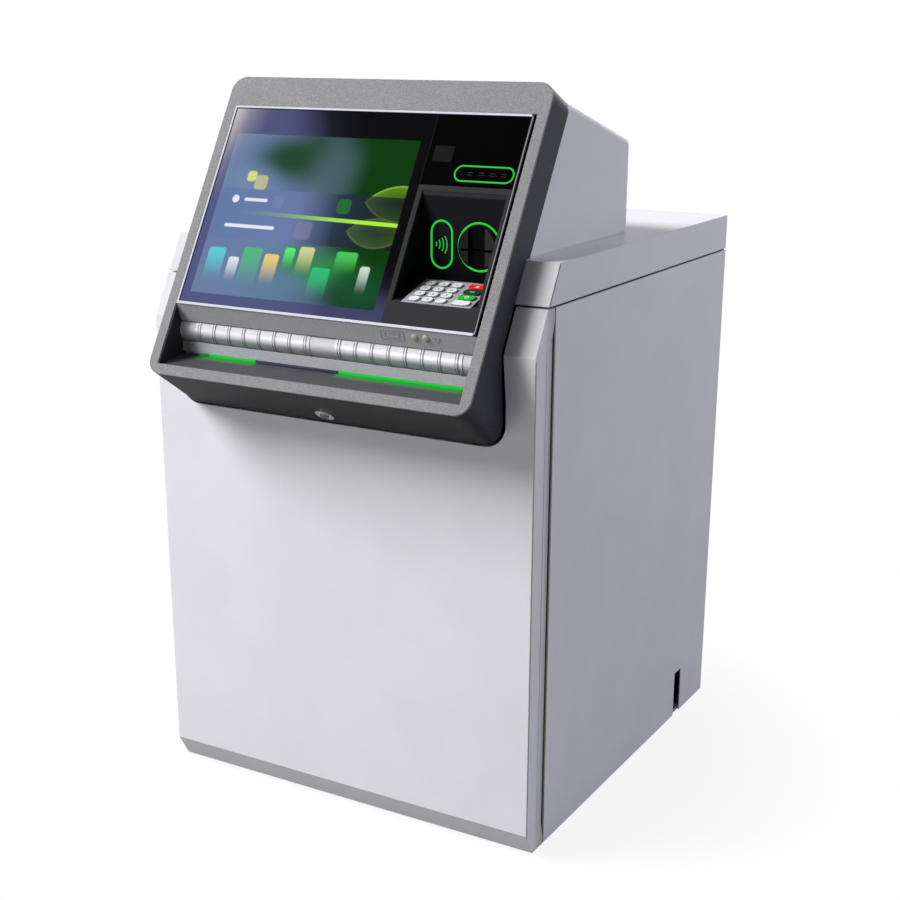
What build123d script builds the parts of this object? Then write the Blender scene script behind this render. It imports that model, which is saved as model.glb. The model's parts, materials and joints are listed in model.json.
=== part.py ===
from build123d import *
import os
from math import cos, hypot, radians, sin, tan

# Free-standing lobby cash machine.  Millimetres, +Z up, front towards -Y.
# The origin is at floor level, under the middle of the overall width and depth.

# ------------------------------------------------------------------ cabinet
CABINET_WIDTH = 760.0
CABINET_DEPTH = 825.0        # door face to rear panel
FOOT_HEIGHT = 4.0            # levelling pads under the base plate
FOOT_RADIUS = 30.0
SHEET = 2.0                  # folded steel of door, panels and covers
SEAM_HEIGHT = 946.0          # top of door and side panels, above the cabinet's bottom edge
SEAM_GAP = 3.4
COVER_HEIGHT = 66.0
FLANGE = 18.0                # returns of the folded panels
FIT_GAP = 0.3                # between pieces that are set against each other

# ------------------------------------------------------------------ front door
DOOR_DEPTH = 63.8
DOOR_GAP = 3.6               # between the door and the side panels
BEND_DROP = 72.0             # the door's face starts to lean back this far below the seam
DOOR_BEND = SEAM_HEIGHT - BEND_DROP
DOOR_LEAN = 29.75            # degrees from the vertical
TOE_RISE = 43.3              # chamfer along the door's foot
TOE_RUN = 24.9
GRIP_WIDTH = 28.0            # finger groove beside the door's gap, along the depth
GRIP_INSET = 8.0             # and across the width
GRIP_FOOT = 12.0             # the groove starts this far above the door's bottom
GRIP_HEAD = 22.0             # and ends this far below its top
GRIP_BAR = 14.0              # solid bar that the groove is cut in
NOTCH_GAP = 2.6              # between the door and the fascia body that it goes round
DOOR_RIB_DEPTH = 25.0
DOOR_RIB_WIDTH = 30.0
DOOR_RIB_SIDE = 50.0         # outer ribs, in from the door's edges
DOOR_RIB_LOW = 70.0
DOOR_RIB_DROP = 256.0        # uppermost rib below the seam
DOOR_RIB_HIGH = SEAM_HEIGHT - DOOR_RIB_DROP
DOOR_RIB_HEIGHTS = (DOOR_RIB_LOW, (DOOR_RIB_LOW + DOOR_RIB_HIGH) / 2, DOOR_RIB_HIGH)

HINGE_INSET = 12.0           # front door's axis, in from the cabinet's left side
HINGE_SETBACK = 24.0         # and behind the door's face, so that the ear clears the fascia
HINGE_PIN = 3.5              # radius
HINGE_EYE = 6.2
HINGE_HEIGHTS = (110.0, 600.0)
HINGE_HEIGHT = 20.0          # height of a gooseneck arm
HINGE_REACH = 60.0           # the arm passes this far to the right of its pin
HINGE_ARM = 7.0              # thickness of the arm
KNUCKLE_HEIGHT = 16.0
RUNNING_FIT = 0.05           # radial clearance of pins and journals
EAR_CLEARANCE = 0.8          # between the fascia body and the door's hinge side as it turns

# ------------------------------------------------------------------ fascia
FASCIA_REACH = 105.0         # face's lower edge, ahead of the door
FACE_DROP = 150.0            # that edge lies this far below the seam
FACE_FOOT = SEAM_HEIGHT - FACE_DROP
EAR_WIDTH = 62.5             # the door shows this much on each side of the face
FACE_WIDTH = CABINET_WIDTH - 2 * EAR_WIDTH
FACE_LENGTH = 560.5          # along the lean
FACE_LEAN = 30.3             # degrees from the vertical
FACE_CORNER = 27.0
FACE_PLATE = 5.0
BODY_DRAFT = 4.0             # degrees, the body widens towards the cabinet
BODY_DEPTH = 57.0            # where the body stands free above the top cover
BODY_REACH = 130.0           # depth of the chin, before the cabinet cuts it off
BODY_WALL = 4.0
BODY_GAP = 1.5               # between the body and what it closes on

WINDOW_MARGIN = 18.5         # face beside the opening in its plate
WINDOW_MARGIN_TOP = 55.5
WINDOW_HALF = FACE_WIDTH / 2 - WINDOW_MARGIN
WINDOW_FOOT = 18.4
WINDOW_HEAD = FACE_LENGTH - WINDOW_MARGIN_TOP
TRIM_LEFT = -WINDOW_HALF + 1.5    # bright frame round the glass
TRIM_RIGHT = WINDOW_HALF - 3.5
TRIM_FOOT = 129.6
TRIM_HEAD = WINDOW_HEAD - 0.8
TRIM_WIDTH = 5.0
TRIM_PROUD = 1.0
GLASS_BACK = 0.5             # glass surface behind the face plane
CARRIER = 4.0                # wall that carries trim, glass and recess
CARRIER_EDGE = 11.5          # width of its ledge inside the trim, left, top and bottom
SERVICE_WIDTH = 176.5        # column with camera, receipt slot and recess
SPLIT_X = TRIM_RIGHT - SERVICE_WIDTH    # glass to the left of it
DISPLAY_LEFT = TRIM_LEFT + 21.9
DISPLAY_RIGHT = SPLIT_X - 18.6
DISPLAY_FOOT = TRIM_FOOT + 23.9
DISPLAY_HEAD = TRIM_HEAD - 52.5
DISPLAY_DEPTH = 36.0
SPLIT_HEAD = 375.7           # recess below, glossy panel above
JOINT_GAP = 0.5

RECEIPT_X = SPLIT_X + 113.9
RECEIPT_HEIGHT = SPLIT_HEAD + 22.6    # along the face
CAMERA_WIDTH = 36.0
CAMERA_HEIGHT = 28.0
CAMERA_LEFT = SPLIT_X + 12.0
CAMERA_RIGHT = CAMERA_LEFT + CAMERA_WIDTH
CAMERA_FOOT = RECEIPT_HEIGHT + 18.2
CAMERA_HEAD = CAMERA_FOOT + CAMERA_HEIGHT
RECEIPT_SLOT = 3.5
RECEIPT_RING_LENGTH = 109.0
RECEIPT_RING_WIDTH = 29.0
PAPER_WIDTH = 80.0

# ------------------------------------------------------------------ recess with keypad and readers
RECESS_LEFT = SPLIT_X + 9.3
RECESS_RIGHT = TRIM_RIGHT - 10.9
RECESS_FOOT = 172.8
RECESS_HEAD = SPLIT_HEAD - 10.7
RECESS_WALL = 2.0
READER_RISE = 230.4          # centre of both readers above the face's foot
READER_HEIGHT = FACE_FOOT + READER_RISE
CARD_X = SPLIT_X + 116.0
CARD_RING = 40.0             # outer radius
CARD_BOSS = 34.0
CARD_PROUD = 10.0
CARD_SLOT_WIDTH = 58.0
CARD_SLOT_HEIGHT = 3.0
CARD_SLOT_DROP = 4.0
FINGER_WIDTH = 30.0
FINGER_DEPTH = 7.0
CARD_BODY_WIDTH = 74.0
CARD_BODY_HEIGHT = 46.0
CARD_BODY_LENGTH = 110.0
TAP_X = SPLIT_X + 46.0
TAP_RING_WIDTH = 42.0
TAP_RING_HEIGHT = 80.0
TAP_BODY_DEPTH = 16.0
RING_STROKE = 4.0
RING_PROUD = 1.0

KEYPAD_TILT = 17.9           # degrees, rising to the rear
KEYPAD_LEFT = RECESS_LEFT + 18.2
KEYPAD_WIDTH = 126.5
KEYPAD_RIGHT = KEYPAD_LEFT + KEYPAD_WIDTH
KEYPAD_LENGTH = 82.0
KEYPAD_FRONT = 1.0
KEYPAD_PROUD = 1.0
KEYPAD_PLATE = 2.5
KEYPAD_BODY = 38.0
KEY_PITCH = 24.5             # between columns
KEY_ROW_PITCH = 18.5
KEY_FIRST_COLUMN = KEYPAD_LEFT + 19.5
KEY_WIDE_COLUMN = KEYPAD_LEFT + 105.5
KEY_LAST_ROW = 11.0
KEY_WIDTH = 16.0
KEY_LENGTH = 12.5
KEY_WIDE = 29.0
KEY_PROUD = 2.4
KEY_BODY = 6.0
KEY_TRAVEL = 2.0
KEY_GAP = 0.3

# ------------------------------------------------------------------ note slot
DRUM_RADIUS = 24.0
DRUM_HEIGHT = 102.8          # axis, along the face
DRUM_BACK = 53.0             # and behind it
DRUM_INNER = 25.5
DRUM_OUTER = WINDOW_HALF - 32.5
DRUM_GAP = 0.5
RIB_COUNT = 8
RIB_FIRST = DRUM_INNER + 8.7
RIB_LAST = DRUM_OUTER - 9.7
RIB_PITCH = (RIB_LAST - RIB_FIRST) / (RIB_COUNT - 1)
RIB_WIDTH = 6.0
RIB_PROUD = 0.8
HUB_RADIUS = 23.0
JOURNAL_RADIUS = 6.0
JOURNAL_LENGTH = 8.0
NOTE_MOUTH = 11.0            # slot through the drum
NOTE_MOUTH_INSET = 14.0
POCKET_CLEAR = 1.2           # between the drum's ribs and the pocket
LEDGE_FALL = 18.2            # height of the ledge in front of the drum's foot
STRIP_HEIGHT = 5.0           # light strip under the ledge
STRIP_DEPTH = 6.0
POCKET_WALL = 3.0
STRIP_LEFT = -DRUM_OUTER + 3.9    # light strip: green, a dark stretch, green again
STRIP_DARK_LEFT = STRIP_LEFT + 120.9
STRIP_DARK_RIGHT = DRUM_INNER + 3.9
STRIP_RIGHT = DRUM_OUTER - 1.5

LOCK_X = 5.0
LOCK_SETBACK = 88.0          # along the chin's underside
LOCK_COLLAR = 17.0           # radius
LOCK_COLLAR_PROUD = 3.0
LOCK_PLUG = 8.0
LOCK_PLUG_PROUD = 5.0
LOCK_BODY = 24.0

# ------------------------------------------------------------------ fascia hinge and hood
FASCIA_AXIS_RISE = 12.0      # above the face's upper edge, along the face
FASCIA_AXIS_BACK = 4.0       # behind the body's rear rim
FASCIA_PIN = 3.5
FASCIA_EYE = 6.0
FASCIA_HINGES = (-210.0, 210.0)
FASCIA_KNUCKLE = 18.0
FASCIA_BRACKET = 24.0
FASCIA_BRACKET_FOOT = 32.0
HOOD_HALF = FACE_WIDTH / 2 - 2.1
HOOD_REAR = 477.0            # behind the door's face
HOOD_DROP = 11.5             # its front edge lies this far below the fascia's axis
HOOD_FALL = 72.0             # and its rear edge lower again
HOOD_WALL = 3.0
HOOD_GAP = 2.0               # behind the fascia body
HOOD_EDGE = 9.0              # radius of its long top edges
HOOD_MOUTH_HALF = HOOD_HALF - 12.4    # opening in the top cover below the hood

# ------------------------------------------------------------------ base, safe and what it holds
BASE_PLATE = 8.0
BASE_INSET = 2.0
ANCHOR_RADIUS = 8.0
ANCHOR_SPACING_X = 500.0
ANCHOR_SPACING_Y = 380.0
ANCHOR_FRONT = 180.0         # front pair, behind the door's face
SAFE_SIDE_GAP = 45.0         # to the cabinet's sides
SAFE_FRONT = 87.0            # behind the door's face
SAFE_DEPTH = 553.0
SAFE_TOP = 700.0
SAFE_WALL = 10.0
SAFE_FRAME = 12.0            # frame round the safe's mouth
SAFE_MOUTH_SIDE = 67.0       # width of that frame beside the mouth
SAFE_MOUTH_FOOT = 34.0
SAFE_DOOR_PLATE = 15.0
SAFE_DOOR_GAP = 2.0
SAFE_AXIS_OUT = 16.0         # hinge axis beside the mouth
SAFE_PIN = 6.0
SAFE_KNUCKLE = 7.0           # half thickness of the hinge blocks
SAFE_HINGES = (140.0, 560.0)
SAFE_HINGE_HEIGHT = 40.0
SAFE_OVERLAP = 22.0          # the door plate covers the frame by this much
BOLT_BOX_GAP = 14.0
BOLT_BOX_DEPTH = 40.0
BOLT_RADIUS = 10.0
BOLT_HEIGHTS = (170.0, 360.0, 550.0)
BOLT_LENGTH = 70.0
BOLT_THROW = 18.0
HANDLE_INSET = 148.0         # in from the mouth's free side
HANDLE_HEIGHT = 360.0
HANDLE_HUB = 22.0
HANDLE_LEVER = 95.0
HANDLE_PROUD = 40.0
SPINDLE_RADIUS = 7.0
DIAL_RADIUS = 40.0
DIAL_RISE = 160.0
DIAL_DEPTH = 20.0

RACK_HALF = 128.0
RACK_FRONT = 140.0
RACK_REAR_GAP = 30.0         # to the safe's rear wall
RACK_LENGTH = SAFE_FRONT + SAFE_DEPTH - SAFE_WALL - RACK_REAR_GAP - RACK_FRONT
RACK_PLATE = 4.0
RUNNER_WIDTH = 14.0
CASSETTE_COUNT = 4
CASSETTE_PITCH = 130.0
CASSETTE_HEIGHT = 116.0
CASSETTE_FRONT_GAP = 5.0     # behind the rack's front edge
CASSETTE_REAR_GAP = 16.0     # to the pick column
CASSETTE_SIDE_GAP = 6.0
PICK_DEPTH = 34.0
CASSETTE_LENGTH = RACK_LENGTH - PICK_DEPTH - CASSETTE_FRONT_GAP - CASSETTE_REAR_GAP
NOTE_PATH_HALF = 110.0
NOTE_PATH_HEIGHT = 38.0
NOTE_RISER_FRONT = 70.0
NOTE_RISER_DEPTH = 55.0

SHELF_DROP = 6.0             # shelf's underside below the seam
SHELF_HEIGHT = SEAM_HEIGHT - SHELF_DROP
SHELF_PLATE = 4.0
SHELF_FRONT = 130.0
POST = 25.0
CORE_LENGTH = 210.0
CORE_HEIGHT = 150.0
CORE_WIDTH = 400.0
CORE_SIDE_GAP = 90.0         # to the cabinet's left side
PRINTER_FRONT = 125.0
PRINTER_HEAD = 145.0         # length of the print mechanism
PRINTER_LENGTH = 250.0
PRINTER_RISE = 51.6          # above the readers' centre: the lifting card reader passes below it
PRINTER_HEIGHT = 72.0
PRINTER_BOTTOM = READER_HEIGHT + PRINTER_RISE
PRINTER_TOP = PRINTER_BOTTOM + PRINTER_HEIGHT
PRINTER_CHEEK = 6.0
ROLL_RADIUS = 34.0
ROLL_BORE = 6.0
ROLL_SIDE_GAP = 1.0
VENT_COLUMNS = 2
VENT_ROWS = 12
VENT_LENGTH = 150.0
VENT_HEIGHT = 5.0
VENT_PITCH = 16.0
VENT_FOOT = 620.0
INLET_WIDTH = 60.0
INLET_HEIGHT = 44.0
INLET_LEVEL = 110.0
LIFT_FRONT = 666.0           # side notches for lifting, behind the door's face
LIFT_WIDTH = 33.0
LIFT_HEIGHT = 93.6

# ------------------------------------------------------------------ places worked out from the sizes
HALF = CABINET_WIDTH / 2
DOOR_Y = FASCIA_REACH - (CABINET_DEPTH + FASCIA_REACH) / 2
REAR_Y = DOOR_Y + CABINET_DEPTH
PANEL_FRONT = DOOR_DEPTH + DOOR_GAP
COVER_TOP = SEAM_HEIGHT + COVER_HEIGHT


def behind(distance):
    """Y of a place this far behind the door's face."""
    return DOOR_Y + distance


def above(height):
    """Z of a place this high above the cabinet's bottom edge."""
    return FOOT_HEIGHT + height


LEAN_SIN = sin(radians(FACE_LEAN))
LEAN_COS = cos(radians(FACE_LEAN))
FACE_ORIGIN = (0, behind(-FASCIA_REACH), above(FACE_FOOT))
FACE_INWARD = Plane(origin=FACE_ORIGIN, x_dir=(1, 0, 0), z_dir=(0, LEAN_COS, -LEAN_SIN))
FACE_OUTWARD = Plane(origin=FACE_ORIGIN, x_dir=(1, 0, 0), z_dir=(0, -LEAN_COS, LEAN_SIN))


def face_point(along, depth):
    """(y, z) of a point on the fascia: along the lean from its foot, and behind the face."""
    y = FACE_ORIGIN[1] + along * LEAN_SIN + depth * LEAN_COS
    z = FACE_ORIGIN[2] + along * LEAN_COS - depth * LEAN_SIN
    return (y, z)


# ------------------------------------------------------------------ shape helpers
def block(x0, x1, y0, y1, z0, z1):
    size = Box(x1 - x0, y1 - y0, z1 - z0)
    return Pos((x0 + x1) / 2, (y0 + y1) / 2, (z0 + z1) / 2) * size


def side_prism(outline, x0, x1):
    """Prism along X from an outline of (y, z) points."""
    plane = Plane(origin=(x0, 0, 0), x_dir=(0, 1, 0), z_dir=(1, 0, 0))
    return extrude(plane * make_face(Polyline(*outline, close=True)), x1 - x0)


def front_prism(wires, y0, y1):
    """Prism along Y from a closed line drawn in x and z."""
    plane = Plane(origin=(0, y1, 0), x_dir=(1, 0, 0), z_dir=(0, -1, 0))
    return extrude(plane * make_face(wires), y1 - y0)


def rod_x(y, z, radius, x0, x1):
    return Pos((x0 + x1) / 2, y, z) * Rot(0, 90, 0) * Cylinder(radius, x1 - x0)


def rod_y(x, z, radius, y0, y1):
    return Pos(x, (y0 + y1) / 2, z) * Rot(90, 0, 0) * Cylinder(radius, y1 - y0)


def rod_z(x, y, radius, z0, z1):
    return Pos(x, y, (z0 + z1) / 2) * Cylinder(radius, z1 - z0)


def face_block(x0, x1, along0, along1, depth0, depth1):
    """Box in the fascia's own directions, depth counted inwards."""
    return FACE_OUTWARD.location * block(x0, x1, along0, along1, -depth1, -depth0)


def stadium_y(x, z, width, height, y0, y1):
    """Upright plate with full round ends, its thickness along Y."""
    plane = Plane(origin=(x, y1, z), x_dir=(1, 0, 0), z_dir=(0, -1, 0))
    turn = 90 if height > width else 0
    outline = SlotOverall(max(width, height), min(width, height), rotation=turn)
    return extrude(plane * outline, y1 - y0)


def drafted(outset, depth0, depth1):
    """Fascia body's drafted outline, offset outwards, between two depths."""
    ends = []
    for depth in (depth0, depth1):
        grow = outset + depth * tan(radians(BODY_DRAFT))
        corner = FACE_CORNER + grow
        outline = RectangleRounded(FACE_WIDTH + 2 * grow, FACE_LENGTH + 2 * grow, corner)
        ends.append(FACE_INWARD.location * Pos(0, -FACE_LENGTH / 2, depth) * outline)
    return loft(ends, ruled=True)


def front_line(gap):
    """Cabinet's front in (y, z), from the bend to the cover's top, moved out by a gap."""
    lean = radians(DOOR_LEAN)
    bend = DOOR_BEND + gap * (1 / cos(lean) - 1) / tan(lean)
    top = COVER_TOP + gap
    top_y = (top - DOOR_BEND) * tan(lean) - gap / cos(lean)
    return [(behind(-gap), above(bend)), (behind(top_y), above(top))]


def slant(height):
    """Distance behind the door's face of the leaning front at a height."""
    return max(0.0, (height - DOOR_BEND) * tan(radians(DOOR_LEAN)))


# ------------------------------------------------------------------ base and cabinet
def base_frame():
    side = HALF - SHEET - BASE_INSET
    y0 = behind(PANEL_FRONT + SHEET)
    y1 = REAR_Y - SHEET - BASE_INSET
    plate = block(-side, side, y0, y1, above(0), above(BASE_PLATE))
    for x in (-ANCHOR_SPACING_X / 2, ANCHOR_SPACING_X / 2):
        for y in (ANCHOR_FRONT, ANCHOR_FRONT + ANCHOR_SPACING_Y):
            plate -= rod_z(x, behind(y), ANCHOR_RADIUS, above(-1), above(BASE_PLATE + 1))
    return plate


def levelling_feet():
    feet = []
    x = HALF - 2 * FOOT_RADIUS
    for y in (behind(PANEL_FRONT + 2 * FOOT_RADIUS), REAR_Y - 2 * FOOT_RADIUS):
        feet.append(rod_z(-x, y, FOOT_RADIUS, 0, FOOT_HEIGHT))
        feet.append(rod_z(x, y, FOOT_RADIUS, 0, FOOT_HEIGHT))
    return Compound(children=feet)


def side_panel(side):
    outer = HALF
    inner = HALF - SHEET
    foot = above(0)
    top = above(SEAM_HEIGHT - SEAM_GAP / 2)
    y0 = behind(PANEL_FRONT)
    panel = block(inner, outer, y0, REAR_Y, foot, top)
    panel += block(inner - FLANGE, inner, y0, y0 + SHEET, above(BASE_PLATE), top)
    panel += block(inner - FLANGE, inner, REAR_Y - 2 * SHEET - FIT_GAP,
                   REAR_Y - SHEET - FIT_GAP, above(BASE_PLATE), top)
    panel += block(inner - FLANGE, inner, y0, REAR_Y - SHEET - FIT_GAP,
                   above(BASE_PLATE), above(BASE_PLATE) + SHEET)
    panel += block(inner - FLANGE, inner, y0, REAR_Y - SHEET - FIT_GAP, top - SHEET, top)
    lift = block(inner - FLANGE - 1, outer + 1, behind(LIFT_FRONT),
                 behind(LIFT_FRONT + LIFT_WIDTH), foot - 1, above(LIFT_HEIGHT))
    panel -= lift
    return panel if side > 0 else mirror(panel, about=Plane.YZ)


def rear_panel():
    half = HALF - SHEET - FIT_GAP
    top = above(SEAM_HEIGHT - SEAM_GAP / 2)
    plate = block(-half, half, REAR_Y - SHEET, REAR_Y, above(0), top)
    plate += block(-half + FLANGE, half - FLANGE, REAR_Y - SHEET - FLANGE, REAR_Y - SHEET,
                   above(BASE_PLATE), above(BASE_PLATE) + SHEET)
    for column in range(VENT_COLUMNS):
        x = (column - (VENT_COLUMNS - 1) / 2) * 2 * VENT_LENGTH
        for row in range(VENT_ROWS):
            z = above(VENT_FOOT + row * VENT_PITCH)
            plate -= block(x - VENT_LENGTH / 2, x + VENT_LENGTH / 2,
                           REAR_Y - 2 * SHEET, REAR_Y + SHEET, z, z + VENT_HEIGHT)
    inlet_x = half - FLANGE - INLET_WIDTH
    inlet = block(inlet_x - INLET_WIDTH / 2, inlet_x + INLET_WIDTH / 2, REAR_Y - FLANGE, REAR_Y,
                  above(INLET_LEVEL), above(INLET_LEVEL + INLET_HEIGHT))
    return plate + inlet


def top_cover():
    foot = SEAM_HEIGHT + SEAM_GAP / 2
    outline = [(behind(slant(foot)), above(foot)), (behind(slant(COVER_TOP)), above(COVER_TOP)),
               (REAR_Y, above(COVER_TOP)), (REAR_Y, above(foot))]
    lip = SHEET / cos(radians(DOOR_LEAN))
    hollow = [(behind(slant(foot - 1) + lip), above(foot - 1)),
              (behind(slant(COVER_TOP - SHEET) + lip), above(COVER_TOP - SHEET)),
              (REAR_Y - SHEET, above(COVER_TOP - SHEET)), (REAR_Y - SHEET, above(foot - 1))]
    cover = side_prism(outline, -HALF, HALF)
    cover -= side_prism(hollow, -HALF + SHEET, HALF - SHEET)
    mouth = block(-HOOD_MOUTH_HALF, HOOD_MOUTH_HALF, behind(-1), behind(HOOD_REAR - FLANGE),
                  above(foot - 1), above(COVER_TOP + 1))
    return cover - mouth


FASCIA_AXIS = face_point(FACE_LENGTH + FASCIA_AXIS_RISE, BODY_DEPTH + FASCIA_AXIS_BACK)
HOOD_FRONT_HEIGHT = FASCIA_AXIS[1] - FOOT_HEIGHT - HOOD_DROP
HOOD_REAR_HEIGHT = HOOD_FRONT_HEIGHT - HOOD_FALL


def hood_surface(distance):
    """Height of the hood's sloping top at a distance behind the door's face."""
    y, z = face_point(0, BODY_DEPTH + HOOD_GAP)
    front = (HOOD_FRONT_HEIGHT + FOOT_HEIGHT - z) * LEAN_SIN / LEAN_COS + y - DOOR_Y
    fall = (HOOD_FRONT_HEIGHT - HOOD_REAR_HEIGHT) / (HOOD_REAR - front)
    return HOOD_FRONT_HEIGHT - (distance - front) * fall


def hood():
    y, z = face_point(0, BODY_DEPTH + HOOD_GAP)
    ratio = LEAN_SIN / LEAN_COS
    foot_y = y + (above(COVER_TOP) - z) * ratio
    head_y = y + (above(HOOD_FRONT_HEIGHT) - z) * ratio
    rear_y = behind(HOOD_REAR)
    outline = [(foot_y, above(COVER_TOP)), (head_y, above(HOOD_FRONT_HEIGHT)),
               (rear_y, above(HOOD_REAR_HEIGHT)), (rear_y, above(COVER_TOP))]
    shell = side_prism(outline, -HOOD_HALF, HOOD_HALF)
    middle = (above(HOOD_FRONT_HEIGHT) + above(HOOD_REAR_HEIGHT)) / 2
    long_edges = shell.edges().filter_by(Plane.YZ).filter_by(lambda e: abs(e.center().Z - middle) < 1)
    shell = fillet(long_edges, HOOD_EDGE)
    step = HOOD_WALL + HOOD_WALL * ratio
    hollow = [(foot_y - 20, above(COVER_TOP - 1)),
              (head_y - 20, above(HOOD_FRONT_HEIGHT) - step + 20 * 0.29),
              (rear_y - HOOD_WALL, above(HOOD_REAR_HEIGHT) - step),
              (rear_y - HOOD_WALL, above(COVER_TOP - 1))]
    return shell - side_prism(hollow, -HOOD_HALF + HOOD_WALL, HOOD_HALF - HOOD_WALL) + fascia_brackets()


# ------------------------------------------------------------------ fascia hinge
def fascia_brackets():
    """Hinge eyes on the hood, with the pins that the fascia's knuckles turn on."""
    y, z = FASCIA_AXIS
    near = y - DOOR_Y + FASCIA_EYE / 2
    far = y - DOOR_Y + FASCIA_BRACKET_FOOT
    outline = [(y, z + FASCIA_EYE), (behind(far), above(hood_surface(far)) + FASCIA_EYE / 2),
               (behind(far), above(hood_surface(far))), (behind(near), above(hood_surface(near))),
               (y, z)]
    brackets = Part()
    for x in FASCIA_HINGES:
        x0 = x - FASCIA_BRACKET / 2
        x1 = x + FASCIA_BRACKET / 2
        reach = FASCIA_KNUCKLE + FIT_GAP
        brackets += side_prism(outline, x0, x1)
        brackets += rod_x(y, z, FASCIA_EYE, x0, x1)
        brackets += rod_x(y, z, FASCIA_PIN, x0 - reach, x1 + reach)
    return brackets


def fascia_knuckles():
    y, z = FASCIA_AXIS
    knuckles = Part()
    bores = Part()
    for x in FASCIA_HINGES:
        for side in (-1, 1):
            near = x + side * (FASCIA_BRACKET / 2 + FIT_GAP)
            far = near + side * FASCIA_KNUCKLE
            x0, x1 = min(near, far), max(near, far)
            depth = BODY_DEPTH + FASCIA_AXIS_BACK
            knuckles += face_block(x0, x1, FACE_LENGTH, FACE_LENGTH + FASCIA_AXIS_RISE,
                                   depth - 2 * FASCIA_EYE, BODY_DEPTH)
            knuckles += rod_x(y, z, FASCIA_EYE, x0, x1)
            bores += rod_x(y, z, FASCIA_PIN + RUNNING_FIT, x0 - 1, x1 + 1)
    return knuckles, bores


# ------------------------------------------------------------------ fascia body and face
def cabinet_envelope():
    """Everything that the fascia body has to stay in front of."""
    low, high = front_line(BODY_GAP)
    outline = [(low[0], -1), low, high, (REAR_Y, high[1]), (REAR_Y, -1)]
    return side_prism(outline, -HALF, HALF)


def lock_place():
    """Turns a shape standing on +Z so that it stands out of the chin's underside."""
    draft = radians(BODY_DRAFT)
    along = -LOCK_SETBACK * sin(draft)
    y, z = face_point(along, LOCK_SETBACK * cos(draft))
    lean = radians(FACE_LEAN) + draft
    normal = (0, -sin(lean), -cos(lean))
    return Plane(origin=(LOCK_X, y, z), x_dir=(1, 0, 0), z_dir=normal).location


def fascia_frame():
    depth_end = FACE_PLATE + CARRIER
    body = drafted(0, FACE_PLATE, BODY_REACH)
    body -= drafted(-BODY_WALL, depth_end, BODY_REACH + 1)
    body -= face_block(-HALF, HALF, TRIM_FOOT + 1, FACE_LENGTH * 2, BODY_DEPTH, 3 * BODY_REACH)
    body -= cabinet_envelope()
    upper = face_block(TRIM_LEFT + TRIM_WIDTH + CARRIER_EDGE / 2, TRIM_RIGHT - TRIM_WIDTH - 1,
                       TRIM_FOOT + CARRIER_EDGE, TRIM_HEAD - CARRIER_EDGE,
                       FACE_PLATE - 1, depth_end + 1)
    side = WINDOW_HALF + POCKET_WALL + 1
    lower = face_block(-side, side, WINDOW_FOOT - BODY_WALL, TRIM_FOOT, FACE_PLATE - 1, depth_end + 1)
    knuckles, bores = fascia_knuckles()
    body = body - upper - lower + knuckles - bores
    seat = lock_place() * Cylinder(LOCK_PLUG + 2, LOCK_BODY * 2)
    return body - seat


def fascia_face():
    outline = RectangleRounded(FACE_WIDTH, FACE_LENGTH, FACE_CORNER)
    plate = extrude(FACE_INWARD.location * Pos(0, -FACE_LENGTH / 2, 0) * outline, FACE_PLATE)
    window = face_block(-WINDOW_HALF, WINDOW_HALF, WINDOW_FOOT, WINDOW_HEAD, -1, FACE_PLATE + 1)
    return plate - window


def trim_bezel():
    ring = face_block(TRIM_LEFT, TRIM_RIGHT, TRIM_FOOT, TRIM_HEAD, -TRIM_PROUD, FACE_PLATE)
    hole = face_block(TRIM_LEFT + TRIM_WIDTH, TRIM_RIGHT - TRIM_WIDTH, TRIM_FOOT + TRIM_WIDTH,
                      TRIM_HEAD - TRIM_WIDTH, -TRIM_PROUD - 1, FACE_PLATE + 1)
    return ring - hole


INNER_LEFT = TRIM_LEFT + TRIM_WIDTH + KEY_GAP
INNER_RIGHT = TRIM_RIGHT - TRIM_WIDTH - KEY_GAP
INNER_FOOT = TRIM_FOOT + TRIM_WIDTH + KEY_GAP
INNER_HEAD = TRIM_HEAD - TRIM_WIDTH - KEY_GAP


def display_glass():
    return face_block(INNER_LEFT, SPLIT_X - JOINT_GAP / 2, INNER_FOOT, INNER_HEAD,
                      GLASS_BACK, FACE_PLATE)


def display_module():
    """Screen behind the glass: panel in its tray, with the drive box on its back."""
    tray = face_block(DISPLAY_LEFT - 4, DISPLAY_RIGHT + 4, DISPLAY_FOOT - 4, DISPLAY_HEAD + 4,
                      FACE_PLATE, FACE_PLATE + DISPLAY_DEPTH / 2)
    middle = (DISPLAY_LEFT + DISPLAY_RIGHT) / 2
    box = face_block(middle - 110, middle + 110, DISPLAY_FOOT + 60, DISPLAY_HEAD - 60,
                     FACE_PLATE + DISPLAY_DEPTH / 2, FACE_PLATE + DISPLAY_DEPTH)
    return tray + box


def control_panel():
    """Glossy panel above the recess, with the camera's pocket and the receipt slot."""
    panel = face_block(SPLIT_X + JOINT_GAP / 2, INNER_RIGHT, SPLIT_HEAD + JOINT_GAP / 2, INNER_HEAD,
                       GLASS_BACK, FACE_PLATE)
    pocket = face_block(CAMERA_LEFT - KEY_GAP, CAMERA_RIGHT + KEY_GAP, CAMERA_FOOT - KEY_GAP,
                        CAMERA_HEAD + KEY_GAP, -1, FACE_PLATE / 2)
    slot = face_block(RECEIPT_X - PAPER_WIDTH / 2 - 2, RECEIPT_X + PAPER_WIDTH / 2 + 2,
                      RECEIPT_HEIGHT - RECEIPT_SLOT / 2, RECEIPT_HEIGHT + RECEIPT_SLOT / 2,
                      -1, FACE_PLATE + 1)
    return panel - pocket - slot


def camera_window():
    return face_block(CAMERA_LEFT, CAMERA_RIGHT, CAMERA_FOOT, CAMERA_HEAD,
                      GLASS_BACK / 2, FACE_PLATE / 2)


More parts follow.
